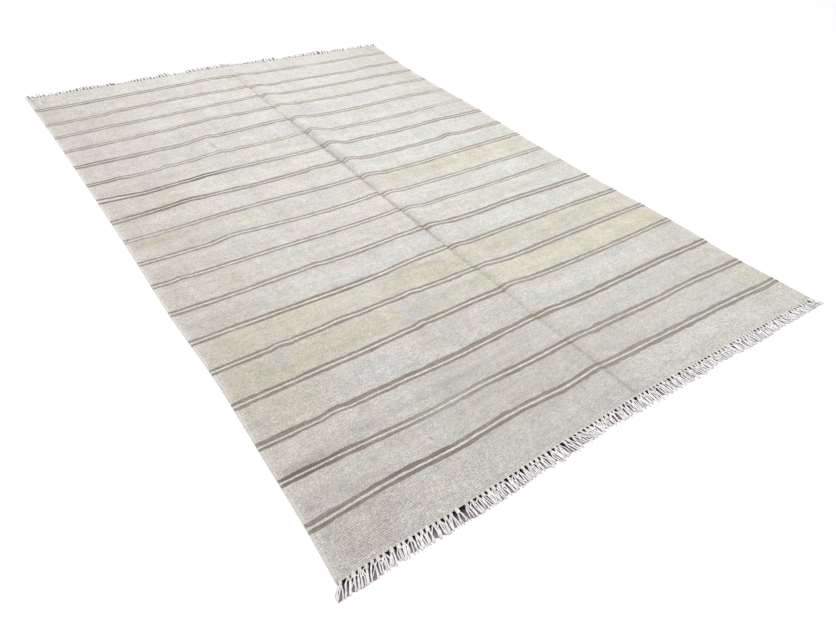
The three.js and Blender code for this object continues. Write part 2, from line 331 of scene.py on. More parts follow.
    def middles(self, side: Side, x: np.ndarray) -> list[np.ndarray]:
        """The y of each pair's middle at these places across a panel, far to near."""
        places = self.places[side]
        return [Line(tuple(zip(places, pair.middle))).at(x) for pair in self.pairs[side]]

    def run(self, side: Side, x: np.ndarray, y: np.ndarray) -> np.ndarray:
        """How far along the woven pattern each place is, with the pairs at even spacing.

        Args:
            side: Which panel the places are on.
            x: Places across the rug.
            y: Places along it.

        Returns:
            The distance along the pattern, 0 at the nearest pair.
        """
        middles = self.middles(side, x)
        count = len(middles)
        y = y - sum_of(self.kinks, x, y)
        away = y - middles[0]
        outer = self.true + (away - self.true) * self.beyond
        run = (count - 1) * self.spacing + np.where(away > self.true, outer, away)
        for i in range(1, count):
            even = (count - 1 - i) * self.spacing
            top = middles[i - 1] - self.true
            low = middles[i] + self.true
            part = (y - low) / (top - low)
            between = even + self.true + part * (self.spacing - 2 * self.true)
            run = np.where(y < top, between, run)
            run = np.where(y < low, even + y - middles[i], run)
        away = middles[-1] - y
        outer = -self.true - (away - self.true) * self.beyond
        return np.where(away > self.true, outer, run)

    def cuts(
        self, side: Side, run: np.ndarray, x: np.ndarray, y: np.ndarray
    ) -> tuple[np.ndarray, np.ndarray]:
        """The lines' sizes and dye at these places.

        Args:
            side: Which panel they are on.
            run: Their distances along the pattern.
            x: Places across the rug.
            y: Places along it.

        Returns:
            Half the cream line and both stripes' widths as rows of three, and the dye.
        """
        pairs = self.pairs[side][::-1]
        stations = [i * self.spacing for i in range(len(pairs))]
        columns = [
            [pair.cream / 2 for pair in pairs],
            [pair.far for pair in pairs],
            [pair.near for pair in pairs],
            [pair.dye for pair in pairs],
        ]
        half, far, near, dye = [np.interp(run, stations, column) for column in columns]
        half = half + sum_of(self.parted, x, y)
        fresh = 1 + sum_of(self.kept, x, y)
        return np.stack([half, far, near], -1), dye * fresh

    def dyed(self, side: Side, x: np.ndarray, y: np.ndarray) -> np.ndarray:
        """How much of the dyed wool there is at these places of a panel."""
        run = self.run(side, x, y)
        cuts, dye = self.cuts(side, run, x, y)
        away = run - np.round(run / self.spacing) * self.spacing
        width = np.where(away > 0, cuts[..., 1], cuts[..., 2])
        middle = np.abs(away) - cuts[..., 0] - width / 2
        return dye * np.clip((width / 2 - np.abs(middle)) / 2 + 0.5, 0, 1)


class Wash(Enum):
    """Shades that sun and washing have left in the wool, and a painted shade, as linear colours."""

    CREAM = (0.535, 0.514, 0.478)
    STRAW = (0.511, 0.483, 0.380)
    GREY = (0.503, 0.500, 0.494)
    LILAC = (0.520, 0.490, 0.488)
    ROSE = (0.535, 0.490, 0.455)
    OLIVE = (0.460, 0.440, 0.346)
    PALE = (0.595, 0.578, 0.540)
    MINT = (0.520, 0.522, 0.478)
    DUN = (0.490, 0.468, 0.430)
    CLAY = (0.490, 0.448, 0.408)
    BUTTER = (0.600, 0.575, 0.455)
    # a dark colour for painted shade in troughs, creases and hollows
    PAINTED_SHADE = (0.380, 0.360, 0.325)


@dataclass(frozen=True)
class Fading:
    """The soft patches of colour over both panels, laid on in this order.

    Each row is a wash and the values of its patch, whose height is the strength of the wash.
    The rows of the darkest wash, and some narrow DUN and OLIVE rows, are painted shade in troughs,
    creases and the seam's hollow and under the loose yarns at the far left corner; the two narrow
    PALE rows at x 62 are a painted highlight on the crest of the seam's pucker.
    """

    patches: tuple[tuple[Wash, float, float, float, float, float, float], ...] = (
        (Wash.MINT, 500, 0, 90, 2200, 750, 0.55), (Wash.ROSE, -900, 0, 90, 1900, 400, 1.0),
        (Wash.STRAW, -880, -900, 90, 600, 260, 0.25), (Wash.DUN, 900, 850, 90, 900, 320, 0.9),
        (Wash.DUN, -260, -1180, 0, 420, 330, 0.9), (Wash.CLAY, -880, -1320, 10, 250, 150, 0.9),
        (Wash.PALE, -400, 1290, 0, 500, 130, 0.8), (Wash.PALE, -250, 1200, 0, 800, 300, 0.2),
        (Wash.OLIVE, 820, 1290, 0, 260, 80, 0.35), (Wash.PALE, -430, 1150, 0, 330, 80, 0.5),
        (Wash.ROSE, -350, 1160, 0, 380, 70, 0.6), (Wash.LILAC, 230, 1160, 0, 300, 80, 0.5),
        (Wash.PALE, -200, 1020, 0, 420, 80, 0.4), (Wash.PALE, -450, 870, 0, 240, 80, 0.4),
        (Wash.LILAC, -100, 730, 0, 1000, 80, 0.8), (Wash.PALE, -70, 740, 0, 190, 90, 0.7),
        (Wash.LILAC, -700, 580, 0, 420, 80, 0.5), (Wash.GREY, 100, 575, 0, 800, 80, 0.5),
        (Wash.ROSE, -700, 425, 0, 260, 80, 0.5), (Wash.GREY, 450, 425, 0, 500, 80, 0.3),
        (Wash.STRAW, -620, 275, 0, 420, 80, 0.3), (Wash.PALE, -600, 280, 0, 260, 80, 0.5),
        (Wash.PALE, -60, 280, 0, 150, 80, 0.6), (Wash.GREY, 500, 275, 0, 500, 80, 0.5),
        (Wash.GREY, 450, 125, 0, 600, 80, 0.5), (Wash.STRAW, -500, -20, 0, 420, 75, 0.3),
        (Wash.DUN, 60, -20, 0, 450, 75, 0.7), (Wash.STRAW, 500, -20, 0, 600, 75, 0.75),
        (Wash.GREY, 500, -165, 0, 600, 75, 0.3), (Wash.PALE, 450, -165, 0, 500, 75, 0.3),
        (Wash.STRAW, 0, -310, 0, 1000, 75, 0.2), (Wash.LILAC, -800, -460, 0, 300, 75, 0.5),
        (Wash.GREY, 0, -460, 0, 900, 75, 0.4), (Wash.PALE, 450, -460, 0, 400, 75, 0.5),
        (Wash.STRAW, -300, -610, 0, 850, 75, 0.9), (Wash.PALE, -420, -610, 0, 220, 75, 0.5),
        (Wash.STRAW, 550, -610, 0, 700, 75, 0.75), (Wash.OLIVE, -450, -750, 0, 480, 75, 0.6),
        (Wash.STRAW, -300, -750, 0, 850, 75, 0.8), (Wash.STRAW, 700, -750, 0, 650, 75, 0.8),
        (Wash.ROSE, -150, -900, 0, 350, 75, 0.6), (Wash.ROSE, -60, -1050, 0, 320, 70, 0.4),
        (Wash.STRAW, 0, -1185, 0, 1000, 75, 0.3), (Wash.PALE, 500, -1200, 0, 500, 150, 0.35),
        (Wash.OLIVE, -860, -120, 0, 140, 60, 0.5), (Wash.STRAW, -860, 1170, 0, 150, 70, 0.3),
        (Wash.PALE, -60, 1160, 0, 160, 70, 0.3), (Wash.GREY, 430, 730, 0, 520, 75, 0.6),
        (Wash.DUN, -650, 425, 0, 160, 70, 0.5), (Wash.STRAW, -760, 200, 90, 170, 210, 0.3),
        (Wash.OLIVE, -850, -20, 0, 150, 70, 0.2), (Wash.GREY, -250, -20, 0, 180, 70, 0.5),
        (Wash.DUN, 250, -20, 0, 300, 70, 0.6), (Wash.DUN, 880, -20, 0, 150, 70, 0.6),
        (Wash.OLIVE, -60, -610, 0, 150, 70, 0.3), (Wash.DUN, -180, -750, 0, 250, 70, 0.4),
        (Wash.BUTTER, 560, -750, 0, 700, 75, 0.7), (Wash.STRAW, -840, -760, 90, 240, 200, 0.35),
        (Wash.DUN, -150, -900, 0, 250, 70, 0.5), (Wash.PALE, 650, -900, 0, 320, 70, 0.35),
        (Wash.PALE, -830, -1050, 0, 160, 70, 0.3), (Wash.PALE, -560, -1185, 0, 300, 70, 0.3),
        (Wash.BUTTER, 900, -1180, 90, 320, 220, 0.5), (Wash.PALE, 600, -1330, 0, 470, 110, 0.75),
        (Wash.GREY, -915, -1290, 88, 300, 32, 0.6), (Wash.OLIVE, -840, 5, 0, 130, 24, 0.8),
        (Wash.OLIVE, -708, -760, 90, 120, 55, 0.75), (Wash.PALE, -520, -45, 0, 170, 32, 0.5),
        (Wash.PALE, 530, -360, 0, 190, 22, 0.95), (Wash.PALE, 825, -1290, 0, 70, 40, 0.4),
        (Wash.PALE, -375, -960, 0, 120, 40, 0.4), (Wash.CLAY, -710, 890, -60, 80, 20, 0.7),
        (Wash.CLAY, -760, 1040, 0, 90, 40, 0.5), (Wash.STRAW, -760, -650, 90, 640, 330, 0.36),
        (Wash.CLAY, -870, -200, 90, 1300, 260, 0.25), (Wash.CLAY, -800, 1090, 90, 330, 330, 0.35),
        (Wash.PALE, -850, 1330, 0, 130, 75, 0.8), (Wash.PALE, -780, 1170, 0, 260, 70, 0.35),
        (Wash.PALE, 305, 1170, 0, 150, 70, 0.35), (Wash.DUN, 740, 730, 0, 200, 70, 0.6),
        (Wash.PALE, -760, 125, 0, 250, 65, 0.3), (Wash.DUN, 0, -25, 0, 450, 60, 0.55),
        (Wash.BUTTER, 850, -610, 0, 150, 70, 0.5), (Wash.DUN, -330, -755, 0, 240, 60, 0.5),
        (Wash.PALE, 500, -905, 0, 220, 70, 0.35), (Wash.DUN, -60, 440, 0, 100, 62, 0.8),
        (Wash.DUN, 690, 655, 0, 170, 62, 0.5), (Wash.DUN, -720, -725, 90, 110, 45, 0.7),
        (Wash.OLIVE, -820, -8, 0, 150, 30, 0.6), (Wash.DUN, -680, -4, -2, 140, 18, 0.8),
        (Wash.PALE, -870, -52, 0, 90, 28, 0.6), (Wash.PALE, -880, -150, 20, 60, 30, 0.5),
        (Wash.DUN, -740, -165, -35, 90, 30, 0.7), (Wash.DUN, -580, -128, -4, 110, 14, 0.8),
        (Wash.DUN, -850, -330, -75, 90, 18, 0.8), (Wash.PALE, -820, -320, -75, 90, 16, 0.5),
        (Wash.DUN, -735, -420, -62, 130, 16, 0.9), (Wash.PALE, -650, -440, -70, 100, 22, 0.5),
        (Wash.PALE, -590, -380, -50, 90, 18, 0.4), (Wash.PALE, -640, 20, 60, 50, 24, 0.5),
        (Wash.STRAW, 180, -22, 0, 260, 50, 0.5), (Wash.STRAW, 840, -22, 0, 170, 50, 0.5),
        (Wash.LILAC, -300, -760, 90, 170, 34, 0.8), (Wash.GREY, -520, -915, 8, 160, 60, 0.8),
        (Wash.PALE, -510, -918, 8, 140, 40, 0.35), (Wash.CLAY, -785, -1330, 90, 120, 30, 0.6),
        (Wash.OLIVE, -865, 1180, 0, 80, 50, 0.5), (Wash.CLAY, -720, 1020, -20, 90, 60, 0.5),
        (Wash.MINT, -640, 1180, 0, 80, 50, 0.5), (Wash.ROSE, -520, 1200, 0, 90, 50, 0.5),
        # The two PALE rows at x 62, on this line and the next, are a painted highlight on the
        # pucker's crest.
        (Wash.ROSE, -210, 1190, 0, 80, 50, 0.6), (Wash.PALE, 62, 610, 90, 100, 24, 0.5),
        (Wash.PALE, 62, 1090, 90, 60, 24, 0.4), (Wash.DUN, 60, -1100, 0, 100, 45, 0.6),
        # The rows of the darkest wash from here on are painted shade.
        (Wash.DUN, -80, -575, -12, 120, 22, 0.8), (Wash.PAINTED_SHADE, -90, 352, -20, 110, 14, 0.3),
        (Wash.PAINTED_SHADE, -110, -325, 0, 110, 14, 0.3), (Wash.PAINTED_SHADE, 2, 500, 90, 190, 42, 0.3),
        (Wash.PAINTED_SHADE, -845, 1352, 60, 44, 8, 0.8), (Wash.PAINTED_SHADE, -902, 1345, 100, 50, 8, 0.7),
        (Wash.PAINTED_SHADE, -430, -1066, 2.5, 460, 17, 0.35),
        (Wash.PAINTED_SHADE, -230, -1052, 3, 260, 14, 0.25), (Wash.PAINTED_SHADE, 480, -1062, 0, 430, 14, 0.28),
        (Wash.PAINTED_SHADE, -120, -572, -8, 190, 22, 0.45), (Wash.PAINTED_SHADE, -330, -528, -4, 260, 16, 0.25),
        (Wash.PAINTED_SHADE, -250, -342, -2, 330, 14, 0.28), (Wash.PAINTED_SHADE, -860, -1104, -4, 190, 32, 0.75),
        (Wash.PAINTED_SHADE, -376, 570, 90, 52, 14, 0.8), (Wash.PAINTED_SHADE, -868, 1332, 100, 62, 10, 0.8),
        (Wash.PAINTED_SHADE, -312, -850, 90, 60, 28, 0.3), (Wash.PAINTED_SHADE, -130, -825, 0, 80, 30, 0.3),
        (Wash.PAINTED_SHADE, 350, -22, 0, 140, 28, 0.25), (Wash.PAINTED_SHADE, 880, 8, 3, 130, 15, 0.5),
        (Wash.PAINTED_SHADE, 870, -262, 0, 100, 18, 0.35),
    )

    def at(self, x: np.ndarray, y: np.ndarray) -> np.ndarray:
        """The wool's linear colour at these places, as rows of four."""
        colour = np.broadcast_to(np.array(Wash.CREAM.value), (*np.shape(x), 3)).copy()
        for wash, *place in self.patches:
            share = Patch(*place).at(x, y)[..., None]
            colour += (np.array(wash.value) - colour) * share
        return np.concatenate([colour, np.ones((*np.shape(x), 1))], -1)


class Graph:
    """The nodes of one material, built by short calls."""

    def __init__(self, name: str) -> None:
        """Starts a material with one shader."""
        self.material = bpy.data.materials.new(name)
        self.material.use_nodes = True
        self.tree = self.material.node_tree
        self.tree.nodes.clear()
        self.surface = self.node("ShaderNodeBsdfPrincipled")
        output = self.node("ShaderNodeOutputMaterial")
        self.tree.links.new(self.surface.outputs["BSDF"], output.inputs["Surface"])

    def node(self, kind: str, **settings: object) -> bpy.types.Node:
        """Adds a node and sets its options."""
        node = self.tree.nodes.new(kind)
        for key, value in settings.items():
            setattr(node, key, value)
        return node

    def feed(self, socket: Socket, source: Feed) -> None:
        """Links a socket, or sets it where the source is a plain value."""
        if isinstance(source, bpy.types.NodeSocket):
            self.tree.links.new(source, socket)
        else:
            socket.default_value = source

    def calc(self, operation: str, *sources: Feed, clamp: bool = False) -> Socket:
        """Adds a math node.

        Args:
            operation: Blender's name of the operation.
            sources: Its inputs.
            clamp: Whether the result is kept from 0 to 1.

        Returns:
            The result's socket.
        """
        node = self.node("ShaderNodeMath", operation=operation, use_clamp=clamp)
        for socket, source in zip(node.inputs, sources):
            self.feed(socket, source)
        return node.outputs[0]

    def ease(self, value: Feed, low: float, high: float, start: float, stop: float) -> Socket:
        """Turns low to high into start to stop, softly and clamped."""
        node = self.node("ShaderNodeMapRange", interpolation_type="SMOOTHSTEP")
        for socket, source in zip(node.inputs, (value, low, high, start, stop)):
            self.feed(socket, source)
        return node.outputs[0]

    def blend(self, share: Feed, first: Feed, second: Feed, kind: str = "MIX") -> Socket:
        """Mixes two colours.

        Args:
            share: How much of the second there is.
            first: The first colour.
            second: The second colour.
            kind: Blender's name of the way they mix.

        Returns:
            The mixed colour's socket.
        """
        node = self.node("ShaderNodeMix", data_type="RGBA", blend_type=kind)
        self.feed(node.inputs[0], share)
        self.feed(node.inputs[6], first)
        self.feed(node.inputs[7], second)
        return node.outputs[2]

    def attribute(self, name: str, output: str = "Fac") -> Socket:
        """Reads a value that the mesh carries."""
        return self.node("ShaderNodeAttribute", attribute_name=name).outputs[output]

    def split(self, vector: Socket) -> tuple[Socket, Socket, Socket]:
        """The three parts of a vector."""
        node = self.node("ShaderNodeSeparateXYZ")
        self.feed(node.inputs[0], vector)
        return node.outputs[0], node.outputs[1], node.outputs[2]

    def grain(
        self, place: Socket, sizes: tuple[float, float], seed: float, detail: float = 2.0
    ) -> Socket:
        """Soft noise, drawn out as the thread is.

        Args:
            place: Where it is read, in metres.
            sizes: The size of its grains in millimetres, across and along.
            seed: Moves the pattern, so that no two are alike.
            detail: How many finer layers it has.

        Returns:
            Its value's socket, from 0 to 1.
        """
        mapping = self.node("ShaderNodeMapping")
        self.feed(mapping.inputs["Vector"], place)
        mapping.inputs["Location"].default_value = (seed, seed * 1.7, seed * 0.3)
        mapping.inputs["Scale"].default_value = (1 / (sizes[0] * MM), 1 / (sizes[1] * MM), 1)
        texture = self.node("ShaderNodeTexNoise")
        self.feed(texture.inputs["Vector"], mapping.outputs[0])
        texture.inputs["Scale"].default_value = 1
        texture.inputs["Detail"].default_value = detail
        texture.inputs["Roughness"].default_value = 0.6
        return texture.outputs[0]

    def tint(self, colour: Feed, grain: Feed, least: float, most: float) -> Socket:
        """Darkens and lightens a colour by a grain, from least to most of itself."""
        share = self.ease(grain, 0.25, 0.75, least, most)
        scale = self.node("ShaderNodeVectorMath", operation="SCALE")
        self.feed(scale.inputs[0], colour[:3] if isinstance(colour, tuple) else colour)
        self.feed(scale.inputs["Scale"], share)
        return scale.outputs[0]

    def finish(
        self, colour: Feed, height: Feed, depth: float, roughness: Feed, sheen: float
    ) -> bpy.types.Material:
        """Joins the finish to the shader.

        Args:
            colour: Its colour.
            height: Its relief, from 0 to 1.
            depth: How deep the relief is, in millimetres.
            roughness: How matt it is.
            sheen: How much its loose fibres catch the light.

        Returns:
            The finished material.
        """
        bump = self.node("ShaderNodeBump")
        bump.inputs["Distance"].default_value = depth * MM
        self.feed(bump.inputs["Height"], height)
        self.feed(self.surface.inputs["Base Color"], colour)
        self.feed(self.surface.inputs["Roughness"], roughness)
        self.feed(self.surface.inputs["Normal"], bump.outputs[0])
        self.surface.inputs["Specular IOR Level"].default_value = 0.15
        self.surface.inputs["Sheen Weight"].default_value = sheen
        self.surface.inputs["Sheen Roughness"].default_value = 0.6
        return self.material


WEAVE_GRAINS: dict[str, tuple[tuple[float, float], float, int]] = {
    "shake": ((42, 17), 8.2, 3),
    "rubbed": ((46, 24), 4.1, 2),
    "speckle": ((3.4, 2.2), 5.3, 1),
    "pick": ((15, 2.4), 6.9, 1),
    "mottle": ((27, 7), 3.9, 2),
    "drift": ((90, 22), 7.1, 2),
    "streak": ((120, 3.0), 1.9, 2),
    "abrash": ((900, 42), 2.7, 3),
    "cloud": ((150, 110), 6.1, 3),
    "warp_streak": ((38, 340), 12.4, 2),
    "dye_streak": ((60, 3.5), 4.4, 2),
    "fleck": ((9, 3.2), 9.4, 1),
    "patchy_seam_soil_and_shade": ((30, 17), 7.7, 2),
}


@dataclass(frozen=True)
class FlatWeave:
    """The panels' weft-faced wool, with its stripes, streaks, selvedge and a seam darkened by soil
    and painted shade.
    """

    spacing: float
    warp: float = 4.8
    weft: float = 3.6
    taupe: tuple[float, float, float, float] = (0.233, 0.200, 0.171, 1)
    pale: tuple[float, float, float, float] = (0.62, 0.58, 0.52, 1)
    # The next two colours darken the seam: first olive soil towards the near end, then painted
    # shade of the seam's hollow, dark brown-grey, further along and where the stripes cross it.
    soil: tuple[float, float, float, float] = (0.20, 0.17, 0.105, 1)
    seam_shade: tuple[float, float, float, float] = (0.13, 0.105, 0.085, 1)
    casts: tuple[tuple[tuple[float, ...], tuple[float, float], float], ...] = (
        ((1.01, 0.975, 0.965, 1), (85, 48), 11.3),
        ((0.975, 1.0, 0.965, 1), (70, 55), 13.9),
        ((0.975, 0.985, 1.005, 1), (100, 50), 15.2),
    )
    washed_tints: tuple[tuple[str, float, float], ...] = (
        ("abrash", 0.92, 1.002),
        ("cloud", 0.96, 1.04),
        ("streak", 0.96, 1.04),
        ("warp_streak", 0.965, 1.03),
    )
    thread_tints: tuple[tuple[str, float, float], ...] = (
        ("speckle", 0.74, 1.24),
        ("pick", 0.90, 1.09),
        ("mottle", 0.94, 1.05),
        ("drift", 0.95, 1.04),
    )
    relief: float = 0.7
    soft_edge: float = 1.6  # how softly a line ends
    waver: float = 6  # how far the lines stray from straight
    widest_cream: float = 3.4  # half of it, where the stripes have parted
    cord_pitch: float = 4.6

    def beads(self, graph: Graph, u: Feed, v: Feed) -> Socket:
        """The rows of small ovals that the weft makes over the warps.

        Args:
            graph: The material's nodes.
            u: Distance across, in metres.
            v: Distance along the pattern, in metres.

        Returns:
            Their height's socket, from 0 to 1.
        """
        row = graph.calc("DIVIDE", v, self.weft * MM)
        odd = graph.calc("MODULO", graph.calc("FLOOR", row), 2.0)
        column = graph.calc("DIVIDE", u, self.warp * MM)
        loose = graph.node("ShaderNodeTexWhiteNoise", noise_dimensions="1D")
        graph.feed(loose.inputs["W"], graph.calc("FLOOR", row))
        column = graph.calc("MULTIPLY_ADD", loose.outputs["Value"], 0.3, column)
        shifted = graph.calc("MULTIPLY_ADD", odd, 0.5, column)
        over = graph.calc("COSINE", graph.calc("MULTIPLY", shifted, math.tau))
        along = graph.calc("COSINE", graph.calc("MULTIPLY", row, math.tau))
        swell = graph.calc("MULTIPLY_ADD", over, 0.32, 0.68)
        round_row = graph.calc("MULTIPLY_ADD", along, -0.5, 0.5)
        return graph.calc("MULTIPLY", swell, graph.calc("POWER", round_row, 0.6))

    def band(self, graph: Graph, start: Feed, width: Feed) -> Socket:
        """1 between 0 and the width, with edges as soft as one turn of the weft."""
        soft = 1 / (self.soft_edge * MM)
        rise = graph.calc("MULTIPLY_ADD", start, soft, 0.5, clamp=True)
        left = graph.calc("SUBTRACT", width, start)
        fall = graph.calc("MULTIPLY_ADD", left, soft, 0.5, clamp=True)
        return graph.calc("MULTIPLY", rise, fall)

    def lines(self, graph: Graph, place: Socket, v: Socket) -> tuple[Socket, Socket]:
        """The stripes' two dyed lines and the cream line between them.

        Args:
            graph: The material's nodes.
            place: The weave's own coordinates.
            v: Distance along the pattern, in metres.

        Returns:
            How much of the dyed wool and of the cream one there is.
        """
        waver = graph.calc("SUBTRACT", graph.grain(place, (34, 5), 3.1, 3), 0.5)
        moved = graph.calc("MULTIPLY_ADD", waver, self.waver * MM, v)
        count = graph.calc("ROUND", graph.calc("DIVIDE", moved, self.spacing * MM))
        away = graph.calc("MULTIPLY_ADD", count, -self.spacing * MM, moved)
        half, far, near = graph.split(graph.attribute("line_cut", "Vector"))
        beat = graph.ease(graph.grain(place, (85, 50), 6.6, 2), 0.3, 0.7, 0.82, 1.18)
        far, near = graph.calc("MULTIPLY", far, beat), graph.calc("DIVIDE", near, beat)
        beyond = graph.calc("SUBTRACT", away, half)
        before = graph.calc("SUBTRACT", graph.calc("MULTIPLY", away, -1.0), half)
        dyed = graph.calc(
            "MAXIMUM", self.band(graph, beyond, far), self.band(graph, before, near)
        )
        pale = graph.calc("MINIMUM", half, self.widest_cream * MM)
        middle = graph.calc("SUBTRACT", pale, graph.calc("ABSOLUTE", away))
        cream = graph.calc("MULTIPLY_ADD", middle, 1 / (self.soft_edge * MM), 0.5, clamp=True)
        return graph.calc("MULTIPLY", dyed, graph.attribute("dye")), cream

    def make(self) -> bpy.types.Material:
        """Builds the material."""
        graph = Graph("flat_weave")
        place = graph.node("ShaderNodeUVMap", uv_map="weft_run").outputs[0]
        u, v, _ = graph.split(place)
        grains = {name: graph.grain(place, *grain) for name, grain in WEAVE_GRAINS.items()}
        shake = graph.calc("SUBTRACT", grains["shake"], 0.5)
        beads = self.beads(
            graph,
            graph.calc("MULTIPLY_ADD", shake, 9.0 * MM, u),
            graph.calc("MULTIPLY_ADD", shake, 7.0 * MM, v),
        )
        rubbed = graph.ease(grains["rubbed"], 0.36, 0.64, 0.35, 1.0)
        beads = graph.calc("MULTIPLY_ADD", graph.calc("SUBTRACT", beads, 0.47), rubbed, 0.47)
        wool = graph.attribute("wash", "Color")
        for name, least, most in self.washed_tints:
            wool = graph.tint(wool, grains[name], least, most)
        for hue, size, seed in self.casts:
            cast = graph.ease(graph.grain(place, size, seed, 0), 0.46, 0.74, 0.0, 1.0)
            wool = graph.blend(cast, wool, graph.blend(1.0, wool, hue, "MULTIPLY"))
        side, seam, _ = graph.split(graph.attribute("from_edges", "Vector"))
        wool = graph.blend(graph.ease(side, 0.012, 0.026, 0.5, 0.0), wool, self.pale)
        dyed, cream = self.lines(graph, place, v)
        wool = graph.blend(graph.calc("MULTIPLY", cream, 0.75), wool, self.pale)
        worn = graph.ease(grains["streak"], 0.3, 0.75, 1.0, 0.80)
        taupe = graph.tint(self.taupe, grains["dye_streak"], 0.84, 1.18)
        fresh = graph.calc("SUBTRACT", graph.attribute("dye"), 0.7)
        taupe = graph.tint(taupe, fresh, 1.0, 0.6)
        wool = graph.blend(graph.calc("MULTIPLY", dyed, worn), wool, taupe)
        for name, least, most in self.thread_tints:
            wool = graph.tint(wool, grains[name], least, most)
        # The wool is painted darker in the low parts between the beads: painted shade between them.
        wool = graph.tint(wool, beads, 0.70, 1.12)
        fleck = graph.ease(grains["fleck"], 0.70, 0.78, 0.0, 0.30)
        wool = graph.blend(fleck, wool, self.taupe)
        # The seam is darkened in patches: olive soil towards the near end, painted shade of its
        # hollow further along.
        patchy = graph.ease(grains["patchy_seam_soil_and_shade"], 0.34, 0.62, 0.4, 1.0)
        patchy_seam_soil_and_shade = graph.calc("MULTIPLY", graph.attribute("seam_soil_and_shade"), patchy)
        seam_soil_to_shade = graph.blend(graph.ease(v, 0.3, 1.2, 0.0, 1.0), self.soil, self.seam_shade)
        wool = graph.blend(patchy_seam_soil_and_shade, wool, seam_soil_to_shade)
        # Painted shadow of the pucker, darker where the stripes cross the seam.
        crossing_shadow = graph.calc("MULTIPLY", dyed, graph.ease(seam, 0.001, 0.011, 0.4, 0.0))
        wool = graph.blend(crossing_shadow, wool, self.seam_shade)
        turns = math.tau / (self.cord_pitch * MM)
        cords = graph.calc("SINE", graph.calc("MULTIPLY", side, turns))
        cords = graph.calc("MULTIPLY", cords, graph.ease(side, 0.020, 0.030, 0.5, 0.0))
        speckled = graph.calc("MULTIPLY_ADD", grains["speckle"], 0.6, beads)
        height = graph.calc("ADD", speckled, cords)
        matt = graph.ease(grains["speckle"], 0.2, 0.8, 0.98, 0.86)
        return graph.finish(wool, height, self.relief, matt, 0.04)


@dataclass(frozen=True)
class Yarn:
    """Two-ply yarn, as in the fringe, the selvedge cords and the stitches."""

    name: str
    root: tuple[float, float, float, float]
    colour: tuple[float, float, float, float]
    tip: tuple[float, float, float, float]
    stain: tuple[float, float, float, float]
    ply: float = 3.4
    relief: float = 0.5

    def make(self) -> bpy.types.Material:
        """Builds the material."""
        graph = Graph(self.name)
        place = graph.node("ShaderNodeUVMap", uv_map="twist").outputs[0]
        around, along, _ = graph.split(place)
        twice = graph.calc("MULTIPLY", around, 2.0)
        turns = graph.calc("MULTIPLY_ADD", along, 1 / (self.ply * MM), twice)
        wave = graph.calc("SINE", graph.calc("MULTIPLY", turns, math.tau))
        plies = graph.calc("MULTIPLY_ADD", wave, 0.5, 0.5)
        spot = graph.node("ShaderNodeTexCoord").outputs["Object"]
        fibre = graph.grain(spot, (0.9, 1.6), 2.3, 2)
        soft = graph.grain(spot, (26, 14), 4.9, 3)
        reach = graph.attribute("reach")
        wool = graph.blend(graph.ease(reach, 0.07, 0.28, 0.0, 1.0), self.root, self.colour)
        wool = graph.blend(graph.ease(reach, 0.15, 1.0, 0.0, 1.0), wool, self.tip)
        wool = graph.blend(graph.ease(soft, 0.45, 0.75, 0.0, 0.55), wool, self.stain)
        wool = graph.tint(wool, graph.attribute("tone"), 0.80, 1.08)
        wool = graph.tint(wool, fibre, 0.90, 1.08)
        # The wool is painted darker in the grooves between the plies: painted shade between them.
        wool = graph.tint(wool, plies, 0.78, 1.06)
        height = graph.calc("MULTIPLY_ADD", fibre, 0.35, plies)
        matt = graph.ease(fibre, 0.2, 0.8, 0.95, 0.8)
        return graph.finish(wool, height, self.relief, matt, 0.25)


@dataclass(frozen=True)
class FloorFinish:
    """A plain matt floor, or a strip of painted shade on it that goes from its inner colour to its
    outer one.
    """

    name: str
    inner: tuple[float, float, float, float]
    outer: tuple[float, float, float, float]

    def make(self) -> bpy.types.Material:
        """Builds the material."""
        graph = Graph(self.name)
        spot = graph.node("ShaderNodeTexCoord").outputs["Object"]
        grain = graph.grain(spot, (9, 7), 3.3, 3)
        reach = graph.ease(graph.attribute("reach"), 0.3, 0.95, 0.0, 1.0)
        colour = graph.blend(reach, self.inner, self.outer)
        colour = graph.tint(colour, grain, 0.94, 1.04)
        return graph.finish(colour, grain, 0.05, 0.9, 0.0)


def new_mesh(
    name: str,
    points: np.ndarray,
    faces: Sequence[Sequence[int]],
    uv_name: str,
    uvs: np.ndarray,
    values: dict[str, np.ndarray],
) -> bpy.types.Object:
    """Makes an object of one mesh, at the origin.

    Args:
        name: The piece's name.
        points: Its corners in millimetres.
        faces: The corners of each face, anticlockwise from outside.
        uv_name: The name of its UV map.
        uvs: The map's values for each face's corners, one after another.
        values: What each corner carries: one number, three or four.

    Returns:
        The object, linked to the scene.
    """
    mesh = bpy.data.meshes.new(name)
    mesh.from_pydata((points * MM).tolist(), [], faces)
    mesh.polygons.foreach_set("use_smooth", np.ones(len(faces), bool))
    layer = mesh.uv_layers.new(name=uv_name)
    layer.data.foreach_set("uv", np.ravel(uvs).astype(np.float32))
    kinds = {1: ("FLOAT", "value"), 3: ("FLOAT_VECTOR", "vector"), 4: ("FLOAT_COLOR", "color")}
    for key, column in values.items():
        width = 1 if column.ndim == 1 else column.shape[1]
        kind, part = kinds[width]
        attribute = mesh.attributes.new(key, kind, "POINT")
        attribute.data.foreach_set(part, np.ravel(column).astype(np.float32))
    mesh.validate()
    piece = bpy.data.objects.new(name, mesh)
    bpy.context.scene.collection.objects.link(piece)
    return piece


def dress(piece: bpy.types.Object, material: bpy.types.Material) -> None:
    """Gives a piece its finish and lets it ride with the rug."""
    piece.data.materials.append(material)
    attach(piece, "root")


